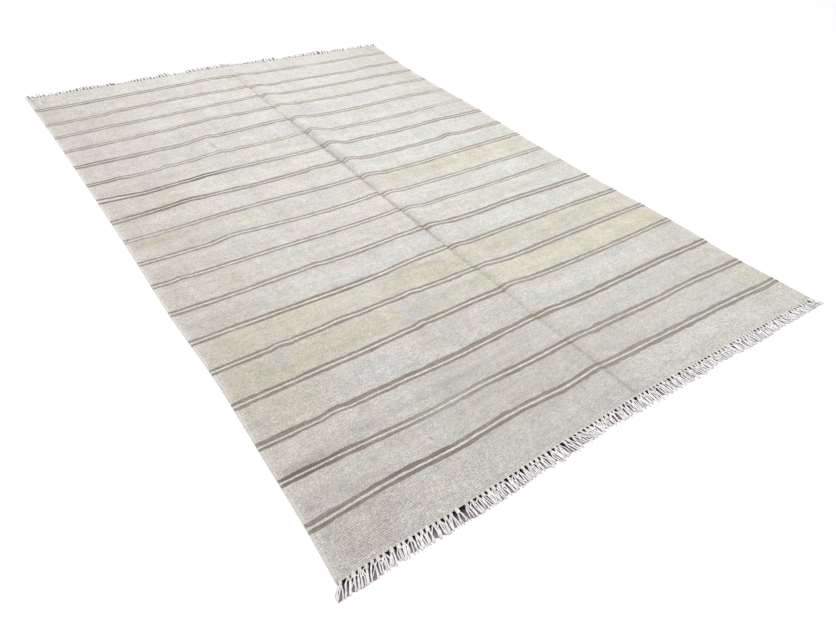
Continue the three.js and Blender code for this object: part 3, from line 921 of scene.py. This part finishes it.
class Skein:
    """Gathers yarns, cords and knots into one mesh."""

    def __init__(self, name: str) -> None:
        """Starts an empty skein."""
        self.name = name
        self.points: list[np.ndarray] = []
        self.faces: list[tuple[int, ...]] = []
        self.uvs: list[np.ndarray] = []
        self.tones: list[np.ndarray] = []
        self.reaches: list[np.ndarray] = []
        self.count = 0

    def rings(
        self, centres: np.ndarray, offsets: np.ndarray, tone: float, reach: np.ndarray
    ) -> None:
        """Adds one closed tube.

        Args:
            centres: The middle of each ring.
            offsets: Each ring's corners from its middle: sideways and upwards.
            tone: How light the yarn is, from 0 to 1.
            reach: How near each ring is to the yarn's free end, from 0 to 1.
        """
        count, sides = offsets.shape[:2]
        ahead = np.gradient(centres, axis=0)
        ahead /= np.linalg.norm(ahead, axis=1)[:, None]
        right = np.cross(ahead, (0, 0, 1))
        right /= np.linalg.norm(right, axis=1)[:, None]
        upwards = np.cross(right, ahead)
        beside = offsets[..., :1] * right[:, None]
        above = offsets[..., 1:] * upwards[:, None]
        self.points.append((centres[:, None] + beside + above).reshape(-1, 3))
        steps = np.linalg.norm(np.diff(centres, axis=0), axis=1)
        along = np.concatenate([[0], np.cumsum(steps)]) * MM
        for i in range(count - 1):
            for k in range(sides):
                a = self.count + i * sides + k
                b = self.count + i * sides + (k + 1) % sides
                self.faces.append((a, a + sides, b + sides, b))
                u0, u1 = k / sides, (k + 1) / sides
                v0, v1 = along[i], along[i + 1]
                self.uvs.append(np.array([[u0, v0], [u0, v1], [u1, v1], [u1, v0]]))
        first = range(self.count, self.count + sides)
        self.faces.append(tuple(first))
        last = self.count + (count - 1) * sides
        self.faces.append(tuple(range(last + sides - 1, last - 1, -1)))
        for i in (0, count - 1):
            self.uvs.append(np.stack([np.arange(sides) / sides, np.full(sides, along[i])], -1))
        self.tones.append(np.full(count * sides, tone))
        self.reaches.append(np.repeat(reach, sides))
        self.count += count * sides

    def yarn(
        self,
        path: np.ndarray,
        radius: np.ndarray,
        sides: int = 5,
        tone: float = 0.5,
        reach: np.ndarray | None = None,
        flat: float = 1.0,
    ) -> None:
        """Adds one yarn.

        Args:
            path: The points that it follows, at its middle.
            radius: Its radius at each.
            sides: How many sides it has.
            tone: How light it is, from 0 to 1.
            reach: How near each point is to its free end, from 0 to 1.
            flat: Its height as a share of its width.
        """
        angle = np.arange(sides) * math.tau / sides
        circle = np.stack([np.cos(angle), np.sin(angle) * flat], -1)
        offsets = radius[:, None, None] * circle
        self.rings(path, offsets, tone, np.zeros(len(path)) if reach is None else reach)

    def build(self) -> bpy.types.Object:
        """Makes the skein's mesh."""
        points = np.concatenate(self.points)
        values = {"tone": np.concatenate(self.tones), "reach": np.concatenate(self.reaches)}
        return new_mesh(self.name, points, self.faces, "twist", np.concatenate(self.uvs), values)


@dataclass
class Panel:
    """One woven panel: a thin closed sheet on its folds."""

    side: Side
    lie: Lie
    stripes: Stripes
    fading: Fading
    thickness: float = 2.9
    cell: float = 6.3
    coarse: int = 4
    round_edge: float = 1.9
    widths: dict[Side, float] = field(default_factory=lambda: {Side.LEFT: 958, Side.RIGHT: 885})
    length: float = 2780
    rim_lines: tuple[float, ...] = (0, 0.7, 1.6, 3.0, 5.0, 8.0, 12.0)
    # How dark the seam is along its length, from soil and painted shade together.
    seam_soil_and_shade: Line = Line((
        (-1400, 0.4), (-1175, 0.4), (-1040, 0.4), (-890, 0.28), (-740, 0.4), (-595, 0.35),
        (-450, 0.4), (-300, 0.56), (-150, 0.45), (-10, 0.38), (140, 0.44), (290, 0.7), (440, 0.42),
        (590, 0.5), (750, 0.24), (900, 0.42), (1035, 0.28), (1185, 0.25), (1320, 0.05),
    ))
    seam_reach: dict[Side, Line] = field(
        default_factory=lambda: {
            Side.LEFT: Line(((-600, 10), (-100, 13), (300, 15))),
            Side.RIGHT: Line(((-500, 15), (-300, 17), (-150, 11), (240, 10), (300, 15), (440, 11))),
        }
    )

    def shares(self, length: float) -> np.ndarray:
        """Where the grid's lines stand, as shares of a length, close together at both edges.

        Args:
            length: The length that they divide.

        Returns:
            The shares, a whole number of coarse cells apart.
        """
        *outer, rim = self.rim_lines
        inner = int((length - 2 * rim) / self.cell)
        inner += -(inner + 2 * len(outer)) % self.coarse
        middle = np.linspace(rim, length - rim, inner + 1)
        ends = np.array(outer)
        return np.concatenate([ends, middle, length - ends[::-1]]) / length

    def grid(self) -> tuple[np.ndarray, np.ndarray]:
        """The x and y of the sheet's grid, row by row from the near end."""
        share = self.shares(self.widths[self.side])[None, :]
        part = self.shares(self.length)[:, None]
        inwards = self.lie.heading + self.lie.gap
        near = self.lie.edge(self.side, End.NEAR, share, inwards)
        far = self.lie.edge(self.side, End.FAR, share, inwards)
        y = near + (far - near) * part
        return self.lie.across(self.side, y, share), y

    def surface(self, x: np.ndarray, y: np.ndarray) -> np.ndarray:
        """The height of the cloth's upper side, with its creases and fine ripples."""
        ends = np.minimum(y - y[:1], y[-1:] - y)
        calm = np.clip(ends / 60, 0, 1)
        height = self.lie.lift(x, y) * np.clip(ends / 12, 0, 1) + self.thickness
        height += sum_of(self.lie.creases, x, y) * calm
        height += (0.35 * rough(x, y, 150, 1.5) + 0.25 * rough(x, y * 1.8, 62, 4.5)) * calm
        height += 0.14 * rough(x, y * 3.0, 26, 7.5)
        return np.maximum(height, self.thickness * 0.8)

    def from_edges(self, x: np.ndarray, y: np.ndarray) -> np.ndarray:
        """How far each place is from the selvedge, the seam and the nearer end, in threes."""
        left, right = x - x[:, :1], x[:, -1:] - x
        ends = np.minimum(y - y[:1], y[-1:] - y)
        side, seam = (left, right) if self.side is Side.LEFT else (right, left)
        return np.stack([side, seam, ends], -1)

    def build(self) -> bpy.types.Object:
        """Weaves the sheet: a fine upper side and a plainer underside, closed at the rim."""
        x, y = self.grid()
        rows, columns = x.shape
        edges = self.from_edges(x, y)
        top = self.surface(x, y)
        for away, share in ((edges[..., 0], 0.55), (edges[..., 1], 0.08)):
            rim = np.clip(away / self.round_edge, 0, 1)
            top -= self.thickness * share * (1 - rim) ** 2
        step = self.coarse
        below_x, below_y = x[::step, ::step], y[::step, ::step]
        below = self.lie.lift(below_x, below_y)
        below[0] = below[-1] = 0
        under = np.stack([below_x, below_y, below], -1)
        over = np.stack([x, y, top], -1)
        points = np.concatenate([over.reshape(-1, 3), under.reshape(-1, 3)])

        upper = np.arange(rows * columns).reshape(rows, columns)
        lower = rows * columns + np.arange(under.shape[0] * under.shape[1])
        lower = lower.reshape(under.shape[:2])
        faces = self.quads(upper).tolist()
        faces += self.quads(lower)[:, ::-1].tolist()
        for fine, plain in (
            (upper[0], lower[0]), (upper[:, -1], lower[:, -1]), (upper[-1, ::-1], lower[-1, ::-1]),
            (upper[::-1, 0], lower[::-1, 0]),
        ):
            for i in range(len(plain) - 1):
                strip = fine[i * step : (i + 1) * step + 1]
                faces.append([plain[i], plain[i + 1], *strip[::-1].tolist()])
        corners = np.concatenate([np.array(face, int) for face in faces])

        run = self.stripes.run(self.side, points[:, 0], points[:, 1])
        cuts, dye = self.stripes.cuts(self.side, run, points[:, 0], points[:, 1])
        uv = np.stack([points[:, 0], run], -1) * MM
        under_edges = edges[::step, ::step].reshape(-1, 3)
        # The seam's soil and painted shade, fading away from it.
        seam_soil_and_shade_share = self.seam_soil_and_shade.at(y) * hump(edges[..., 1] / self.seam_reach[self.side].at(y))
        values = {
            "wash": self.fading.at(points[:, 0], points[:, 1]),
            "line_cut": cuts * MM,
            "dye": dye,
            "seam_soil_and_shade": np.concatenate([seam_soil_and_shade_share.ravel(), seam_soil_and_shade_share[::step, ::step].ravel()]),
            "from_edges": np.concatenate([edges.reshape(-1, 3), under_edges]) * MM,
        }
        name = f"woven_panel_{self.side.value}"
        return new_mesh(name, points, faces, "weft_run", uv[corners], values)

    @staticmethod
    def quads(numbers: np.ndarray) -> np.ndarray:
        """The four-sided faces of a grid of corners, facing up."""
        a, b = numbers[:-1, :-1], numbers[:-1, 1:]
        c, d = numbers[1:, 1:], numbers[1:, :-1]
        return np.stack([a, b, c, d], -1).reshape(-1, 4)


@dataclass(frozen=True)
class Hang:
    """How the locks hang at one place: how far their tips lean and how long they are."""

    x: float
    lean: float
    length: float


@dataclass(frozen=True)
class Loose:
    """A yarn that has come away from its lock and lies across the others."""

    x: float
    start: float
    lean: float
    length: float


@dataclass(frozen=True)
class Lock:
    """One knotted lock: its number, root, pull sideways and length."""

    number: int
    x: float
    y: float
    lean: float
    length: float
    room: float


@dataclass(frozen=True)
class FringeRow:
    """The fringe of one end of the rug."""

    end: End
    missing: tuple[float, ...]
    parted: tuple[tuple[float, float], ...]
    hang: tuple[Hang, ...]
    loose: tuple[Loose, ...]
    # how far out, as a share of each lock's length, the strip of painted shade under the fringe
    # reaches
    shaded: Line
    strands: int
    yarn_radius: float
    bulk: float
    spread: float
    wander: float
    opens: float = 6.5
    ease: float = 0.8
    locks: dict[Side, int] = field(default_factory=lambda: {Side.LEFT: 60, Side.RIGHT: 56})
    parting_reach: float = 60

    def plan(self, side: Side, lie: Lie) -> list[Lock]:
        """Where each lock of one panel's end stands.

        Args:
            side: Which panel it grows from.
            lie: How the rug lies.

        Returns:
            The locks from left to right, without those that are missing.
        """
        lean = Line(tuple((h.x, h.lean) for h in self.hang))
        length = Line(tuple((h.x, h.length) for h in self.hang))
        ends = lie.across(side, self.end.value * lie.reach_y, np.array([0.0, 1.0]))
        count = self.locks[side]
        pitch = (ends[1] - ends[0]) / count
        first = 0 if side is Side.LEFT else self.locks[Side.LEFT]
        locks = []
        for i in range(count):
            even = ends[0] + (i + 0.5) * pitch
            x = even + stray(first + i, self.end.value) * self.wander
            for place, by in self.parted:
                away = even - place
                share = max(0.0, 1 - abs(away) / self.parting_reach)
                x += share * by / 2 * math.copysign(1, away)
            if any(abs(gone - even) < pitch / 2 for gone in self.missing):
                continue
            locks.append(
                Lock(
                    first + i,
                    float(x),
                    float(lie.ends[self.end].at(x)),
                    float(lean.at(x)) + 1.5 * self.wander * stray(first + i, 5),
                    float(length.at(x)) * (1 + 0.07 * stray(first + i, 3)),
                    float(pitch),
                )
            )
        return locks


NEAR_FRINGE = FringeRow(
    end=End.NEAR,
    shaded=Line(((-940, 0.95), (-780, 0.9), (-400, 0.94), (200, 0.88), (940, 0.93))),
    strands=4,
    yarn_radius=0.9,
    bulk=0.9,
    spread=1.4,
    wander=2.1,
    opens=13,
    ease=1.1,
    missing=(-604,),
    parted=(
        (-921, 4), (-872, 2), (-816, 5), (-604, -10), (-463, 3), (30, 4), (226, 3), (350, 2),
        (506, 3), (910, 4),
    ),
    hang=rows_of(
        Hang,
        (-940, -28, 42), (-905, -18, 40), (-860, -17, 44), (-800, -14, 37), (-690, -9, 41),
        (-620, -7, 43), (-560, 0, 44), (-430, -1, 41), (-340, 3, 37), (-290, 6, 42), (-175, 16, 38),
        (-125, 0, 36), (20, -5, 42), (60, 0, 43), (240, 2, 43), (290, 10, 43), (335, 1, 38),
        (455, 12, 38), (500, 1, 41), (600, 0, 43), (690, 2, 40), (765, 18, 37), (830, 10, 38),
        (940, 28, 39),
    ),
    loose=rows_of(
        Loose,
        (-898, 6, -24, 24), (-613, 7, 4, 30), (-596, 9, -4, 27), (-212, 8, 36, 22),
        (-196, 6, 34, 24), (-186, 12, 30, 20), (-850, 14, -22, 20), (-436, 12, 13, 24),
        (-330, 14, 14, 20), (270, 16, 20, 24), (296, 20, 16, 22), (452, 10, 20, 22),
        (742, 10, 24, 20), (915, 12, 26, 20),
    ),
)
FAR_FRINGE = FringeRow(
    end=End.FAR,
    shaded=Line((
        (-935, 0.95), (-893, 0.9), (-882, 0.4), (-865, 0.8), (-848, 0.7), (-836, 0.3), (-806, 0.4),
        (-791, 1.0), (-772, 0.4), (-745, 0.7), (-680, 1.0), (-600, 0.95), (-580, 0.6), (-540, 1.0),
        (-514, 0.45), (-455, 0.5), (-420, 0.85), (-362, 0.8), (-346, 0.5), (-325, 1.0), (-245, 1.0),
        (-222, 0.4), (-180, 0.5), (-165, 0.9), (-115, 0.9), (-60, 0.85), (10, 1.0), (60, 0.95),
        (95, 0.6), (200, 0.75), (245, 1.0), (318, 1.0), (338, 0.4), (370, 0.8), (430, 0.8),
        (500, 1.0), (617, 0.9), (632, 0.4), (655, 0.7), (728, 0.7), (748, 0.5), (790, 0.75),
        (945, 0.8),
    )),
    strands=3,
    yarn_radius=0.95,
    bulk=0.72,
    spread=0.52,
    wander=2.6,
    missing=(-540, 578),
    parted=((-791, 8), (-300, 4), (120, 5), (280, 7), (700, 4)),
    hang=rows_of(
        Hang,
        (-920, -3, 44), (-860, -4, 50), (-700, 5, 52), (-560, -7, 48), (-380, 7, 52),
        (-200, -3, 54), (0, 7, 54), (130, 0, 52), (260, 12, 54), (370, 6, 54), (560, 18, 62),
        (700, 20, 68), (830, 26, 69), (940, 26, 62),
    ),
    loose=rows_of(
        Loose,
        (-862, 4, -18, -78), (-884, 2, 14, -62), (-902, 0, 12, -40), (-872, -26, 20, -44),
        (-820, 14, 18, 20), (-590, 12, -20, 22), (-330, 16, 22, 24), (-60, 14, -26, 30),
        (60, 18, 24, 30), (300, 10, -18, 22), (520, 20, 24, 30), (720, 16, -26, 30),
    ),
)


@dataclass
class Fringe:
    """The heading and the knotted locks at one end of one panel."""

    row: FringeRow
    side: Side
    lie: Lie
    knot: tuple[tuple[float, float], ...] = (
        (-3.0, 3.0), (0.0, 4.6), (2.8, 5.3), (5.6, 5.2), (8.2, 4.8), (10.2, 3.4),
    )
    knot_flatness: float = 0.56
    knot_reach: float = 8.0  # how wide the yarns stand where they leave the knot
    yarn_start: float = 5.0  # how far out they start, hidden in the knot
    stations: int = 8
    margin: float = 1.3

    def __post_init__(self) -> None:
        """Sets what doesn't come from a field."""
        seed = (self.row.end is End.FAR) * 2 + (self.side is Side.RIGHT)
        self.chance = np.random.default_rng(40 + seed)
        end = self.row.end.name.lower()
        self.skein = Skein(f"knotted_fringe_{end}_{self.side.value}")

    def keep(self, path: np.ndarray) -> np.ndarray:
        """Keeps a path inside the rug's own reach."""
        room_x, room_y = self.lie.reach_x - self.margin, self.lie.reach_y - self.margin
        path[:, 0] = np.clip(path[:, 0], -room_x, room_x)
        path[:, 1] = np.clip(path[:, 1], -room_y, room_y)
        return path

    def tie(self, lock: Lock) -> None:
        """Ties the knot: a lump of two slanting turns, close against the cloth."""
        turn = self.row.end.value
        size = self.row.bulk * (1 + 0.22 * stray(lock.number, 7))
        along = np.array([station for station, _ in self.knot]) * size
        width = np.array([radius for _, radius in self.knot]) * size
        angle = np.arange(8) * math.tau / 8
        wraps = 1 + 0.16 * np.sin(2 * angle[None, :] + along[:, None] * 0.95 + lock.number)
        girth = width[:, None] * wraps
        beside, above = girth * np.cos(angle), girth * np.sin(angle) * self.knot_flatness
        offsets = np.stack([beside, above], -1)
        lean = lock.lean / max(lock.length, 1)
        height = np.maximum(width * 0.66, 1.4)
        centres = np.stack([lock.x + lean * along, lock.y + turn * along, height], -1)
        reach = np.clip(along / lock.length, 0, 1)
        self.skein.rings(centres, offsets, 0.6 + 0.2 * stray(lock.number, 9), reach)

    def hang(self, lock: Lock) -> None:
        """Lets the lock's strands, of two yarns each, fan out from its knot onto the floor."""
        turn = self.row.end.value
        part = np.linspace(0, 1, self.stations) ** 1.25
        strands = self.row.strands
        spread = lock.room * self.row.spread
        opens = self.row.opens * (1 + 0.5 * stray(lock.number, 11))
        for k in range(strands):
            place = (k + 0.5) / strands - 0.5 + self.chance.normal(0, 0.05 * self.row.wander)
            strand_length = lock.length * (1 + self.chance.normal(0, 0.05)) + 1.5
            open_out = np.minimum(part * strand_length / opens, 1) ** self.row.ease
            fan = place * (self.knot_reach + (spread - self.knot_reach) * open_out)
            wave = self.chance.uniform(0.3, 1.1) * np.sin(
                part * self.chance.uniform(4, 9) + self.chance.uniform(0, math.tau)
            )
            wave *= np.minimum(part / 0.3, 1)
            drift = self.chance.normal(0, 1.3 * self.row.wander) * part**2
            for beside in (-0.86, 0.86):
                length = strand_length * (1 + self.chance.normal(0, 0.025))
                along = self.yarn_start + (length - self.yarn_start) * part
                radius = self.row.yarn_radius * self.chance.uniform(0.9, 1.12)
                apart = beside * radius * (1 + self.chance.uniform(-0.1, 0.5) * part**2)
                x = lock.x + lock.lean * along / lock.length + fan + wave + drift + apart
                y = lock.y + turn * along
                radii = radius * (1 - 0.35 * np.maximum(part - 0.85, 0) / 0.15)
                drop = np.exp(-part * 6) * 1.8 * self.row.bulk
                stack = 0.5 * (k % 2) * np.exp(-((part - 0.3) ** 2) / 0.1)
                path = self.keep(np.stack([x, y, radii + drop + stack], -1))
                tone = float(self.chance.uniform(0.25, 1.0))
                self.skein.yarn(path, radii, tone=tone, reach=0.14 + 0.86 * part)

    def stray_yarn(self, loose: Loose) -> None:
        """Lays a loose yarn across the locks."""
        turn = self.row.end.value
        part = np.linspace(0, 1, self.stations)
        x = loose.x + loose.lean * part + 1.2 * np.sin(part * 4 + loose.x)
        y = self.lie.ends[self.row.end].at(loose.x) + turn * (loose.start + loose.length * part)
        on_cloth = loose.start + loose.length * part < 8
        z = np.where(on_cloth, 4.6, 2.6) + 1.3 * np.sin(part * math.pi)
        path = self.keep(np.stack([x, y, z], -1))
        radii = np.full(self.stations, self.row.yarn_radius)
        self.skein.yarn(path, radii, tone=0.7, reach=part)

    def heading(self) -> None:
        """Twines the two cords of the heading, which holds the weft at the end of the cloth."""
        share = np.linspace(0, 1, 170)
        for inwards, radius in ((1.5, 1.5), (4.6, 1.75)):
            x = self.lie.across(self.side, self.row.end.value * self.lie.reach_y, share)
            y = self.lie.edge(self.side, self.row.end, share, inwards)
            z = np.full_like(x, 1.55)
            z += 0.12 * np.sin(np.arange(len(x)) * 1.9)
            path = np.stack([x, y, z], -1)
            self.skein.yarn(path, np.full(len(x), radius * 1.06), sides=6, tone=0.55)

    def build(self) -> bpy.types.Object:
        """Makes the whole end: heading, knots, yarns and loose ends."""
        self.heading()
        for lock in self.row.plan(self.side, self.lie):
            self.tie(lock)
            self.hang(lock)
        seam = float(self.lie.sides["seam"].at(self.row.end.value * self.lie.reach_y))
        for loose in self.row.loose:
            if (loose.x < seam) == (self.side is Side.LEFT):
                self.stray_yarn(loose)
        return self.skein.build()


@dataclass
class Selvedge:
    """The two thick cords that bind one long side."""

    side: Side
    panel: Panel
    radii: tuple[float, float] = (1.75, 1.55)
    insets: tuple[float, float] = (1.1, 4.4)
    step: float = 3.5

    def build(self) -> bpy.types.Object:
        """Lays the cords along the side, on the folds of the cloth, with its stripes."""
        skein = Skein(f"selvedge_cords_{self.side.value}")
        inward = 1 if self.side is Side.LEFT else -1
        line = self.panel.lie.sides[self.side.value]
        x, y = self.panel.grid()
        column = 0 if self.side is Side.LEFT else -1
        along = np.arange(y[0, column] + 1, y[-1, column] - 1, self.step)
        for radius, inset in zip(self.radii, self.insets):
            across = line.at(along) + inward * inset
            lift = self.panel.lie.lift(across, along)
            wave = 0.22 * np.sin(along * 0.61) + 0.15 * np.sin(along * 0.23)
            height = lift + radius + (0.05 if inset < 2 else 1.25)
            path = np.stack([across + wave * inward, along, height], -1)
            dyed = self.panel.stripes.dyed(self.side, across, along)
            skein.yarn(path, np.full(len(along), radius), sides=6, tone=0.6, reach=dyed)
        return skein.build()


@dataclass
class Seam:
    """The small slanting stitches that join the panels."""

    lie: Lie
    spacing: float = 9.0
    thread: float = 0.45
    worn: float = 0.22  # the share of the stitches that lie too deep to show
    start: float = -1374
    stop: float = 1372

    def build(self) -> bpy.types.Object:
        """Sews the seam from the near end to the far one."""
        skein = Skein("seam_stitches")
        chance = np.random.default_rng(17)
        part = np.linspace(0, 1, 5)
        for y in np.arange(self.start, self.stop, self.spacing):
            y += chance.normal(0, 1.6)
            if chance.random() < self.worn:
                continue
            half = 1.7 + chance.normal(0, 0.35)
            slant = 2.8 + chance.normal(0, 0.6)
            middle = float(self.lie.sides["seam"].at(y))
            x = middle + half * (2 * part - 1)
            along = y + slant * (2 * part - 1)
            height = self.lie.lift(x, along) + 2.1 + 0.9 * np.sin(part * math.pi)
            path = np.stack([x, along, height], -1)
            radii = np.full(5, self.thread * chance.uniform(0.85, 1.15))
            skein.yarn(path, radii, tone=float(chance.uniform(0.1, 0.9)))
        return skein.build()


@dataclass
class Snags:
    """Short ends of thread that have worked out of the cloth."""

    lie: Lie
    places: tuple[tuple[float, float, float, float], ...] = (
        (-539, -1198, 118, 13), (906, -1220, 30, 6), (-640, 905, 60, 7), (312, -505, 140, 6),
    )

    def build(self) -> bpy.types.Object:
        """Lays each end on the cloth. A place is x, y, its turn in degrees and its length."""
        skein = Skein("loose_thread_ends")
        part = np.linspace(-0.5, 0.5, 5)
        for x, y, turn, length in self.places:
            angle = math.radians(turn)
            across = x + length * part * math.cos(angle) + 1.2 * np.cos(part * 4)
            along = y + length * part * math.sin(angle)
            height = self.lie.lift(across, along) + 3.2 + 0.7 * np.cos(part * math.pi)
            path = np.stack([across, along, height], -1)
            skein.yarn(path, np.full(5, 0.75), tone=0.4)
        return skein.build()


@dataclass
class Studio:
    """The floor, the lights and the camera."""

    lie: Lie
    floor_size: float = 60.0
    floor_drop: float = 0.0008
    strip_tuck: float = 12  # how far a dark strip reaches in under the cloth, in mm
    strip_drop: float = 0.3
    camera_place: tuple[float, float, float] = (-1.3175, -2.0568, 1.3693)
    camera_turn: tuple[float, float, float] = (50.3175, -4.0195, -35.7748)
    lens: float = 29.5605

    def floor(self, finish: FloorFinish) -> bpy.types.Object:
        """Lays the floor just under the rug."""
        bpy.ops.object.select_all(action="DESELECT")
        bpy.ops.mesh.primitive_plane_add(size=self.floor_size, location=(0, 0, -self.floor_drop))
        floor = bpy.context.object
        floor.name = "studio_floor"
        bpy.ops.object.transform_apply(location=True, rotation=True, scale=True)
        floor.data.materials.append(finish.make())
        return floor

    def shade(self, row: FringeRow, finish: bpy.types.Material) -> bpy.types.Object:
        """Lays a strip of painted shade on the floor between the roots of one fringe, darkest at
        the roots.
        """
        turn = row.end.value
        inner, outer = [], []
        locks = [lock for side in Side for lock in row.plan(side, self.lie)]
        for i, lock in enumerate(locks):
            share = float(row.shaded.at(lock.x))
            inner.append((lock.x, lock.y - turn * self.strip_tuck))
            outer.append((lock.x + lock.lean * share, lock.y + turn * lock.length * share))
            if i + 1 < len(locks):
                after = locks[i + 1]
                share *= 0.93
                x, y = (lock.x + after.x) / 2, (lock.y + after.y) / 2
                lean, length = (lock.lean + after.lean) / 2, (lock.length + after.length) / 2
                inner.append((x, y - turn * self.strip_tuck))
                outer.append((x + lean * share, y + turn * length * share))
        points = np.array([(*place, -self.strip_drop) for place in inner + outer])
        reach = np.concatenate([np.zeros(len(inner)), np.ones(len(outer))])
        count = len(inner)
        faces = [(i, i + 1, count + i + 1, count + i) for i in range(count - 1)]
        if turn < 0:
            faces = [face[::-1] for face in faces]
        corners = np.concatenate([np.array(face) for face in faces])
        strip = new_mesh(
            f"floor_under_fringe_{row.end.name.lower()}",
            points,
            faces,
            "spread",
            points[corners, :2] * MM,
            {"reach": reach},
        )
        strip.data.materials.append(finish)
        return strip

    def light(self, name: str, place: Vector, size: float, power: float) -> None:
        """Hangs a soft square light that faces the middle of the rug."""
        data = bpy.data.lights.new(name, "AREA")
        data.size = size
        data.energy = power
        lamp = bpy.data.objects.new(name, data)
        lamp.location = place
        lamp.rotation_euler = (-place).to_track_quat("-Z", "Y").to_euler()
        bpy.context.scene.collection.objects.link(lamp)

    def lights(self) -> None:
        """Lights the scene softly, a little more from the far right."""
        world = bpy.data.worlds.new("soft_surround")
        world.use_nodes = True
        surround = world.node_tree.nodes["Background"]
        surround.inputs["Color"].default_value = (0.98, 0.99, 1.0, 1)
        surround.inputs["Strength"].default_value = 1.0
        bpy.context.scene.world = world
        self.light("window_light", Vector((1.2, 3.2, 2.6)), 2.5, 75)
        self.light("overhead_light", Vector((0.35, 0.1, 1.8)), 2.5, 33)

    def camera(self) -> None:
        """Stands the camera where the photograph was taken."""
        data = bpy.data.cameras.new("photograph_camera")
        data.sensor_width = 36
        data.lens = self.lens
        data.clip_end = 100
        camera = bpy.data.objects.new("photograph_camera", data)
        camera.location = self.camera_place
        camera.rotation_euler = [math.radians(turn) for turn in self.camera_turn]
        bpy.context.scene.collection.objects.link(camera)
        bpy.context.scene.camera = camera
        bpy.context.scene.view_settings.view_transform = "Standard"


def main() -> None:
    """Builds the rug piece by piece and sets the scene."""
    logging.basicConfig(level=logging.INFO, format="%(message)s")
    log = logging.getLogger("kilim")
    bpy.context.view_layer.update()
    lie, stripes, fading = Lie(), Stripes(), Fading()
    studio = Studio(lie)
    studio.camera()
    floor = studio.floor(FloorFinish("pale_floor", (0.93, 0.93, 0.93, 1), (0.93, 0.93, 0.93, 1)))
    # The dark strips under the fringes are painted shade: near black at the roots, lighter
    # outwards.
    near_shade = FloorFinish("painted_shade_near", (0.006, 0.004, 0.005, 1), (0.21, 0.165, 0.178, 1))
    far_shade = FloorFinish("painted_shade_far", (0.085, 0.065, 0.075, 1), (0.30, 0.245, 0.27, 1))
    for row, finish in ((NEAR_FRINGE, near_shade), (FAR_FRINGE, far_shade)):
        studio.shade(row, finish.make())
    studio.lights()

    weave = FlatWeave(stripes.spacing).make()
    wool, cord, sewing = (0.60, 0.58, 0.54, 1), (0.65, 0.63, 0.585, 1), (0.46, 0.43, 0.37, 1)
    # The fringe yarn's root colour, on the heading, the knots and the yarns' first part, is the
    # darker tone of the cloth, and on the yarns it is also painted shade near the knots; its
    # slightly mauve tip colour is painted shade on the yarns' outer parts.
    fringe_yarn = Yarn(
        "fringe_yarn", wool, (0.97, 0.955, 0.94, 1), (0.92, 0.89, 0.90, 1), (0.70, 0.64, 0.65, 1)
    ).make()
    edge_yarn = Yarn(
        "selvedge_yarn", cord, cord, (0.25, 0.22, 0.19, 1), (0.50, 0.47, 0.42, 1), 5.0
    ).make()
    thread = Yarn("seam_thread", sewing, sewing, sewing, (0.33, 0.29, 0.23, 1), 2.2).make()

    seam = Seam(lie).build()
    dress(seam, thread)
    snags = Snags(lie).build()
    dress(snags, thread)
    log.info("%s and %s are sewn", seam.name, snags.name)
    for side in Side:
        for row in (NEAR_FRINGE, FAR_FRINGE):
            fringe = Fringe(row, side, lie).build()
            dress(fringe, fringe_yarn)
            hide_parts(f"fringe_{row.end.name.lower()}_{side.value}")
            log.info("%s has %d faces", fringe.name, len(fringe.data.polygons))
        panel = Panel(side, lie, stripes, fading)
        cloth = panel.build()
        dress(cloth, weave)
        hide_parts(f"panel_{side.value}")
        cords = Selvedge(side, panel).build()
        dress(cords, edge_yarn)
        log.info("%s has %d faces", cloth.name, len(cloth.data.polygons))


if __name__ == "__main__":
    main()
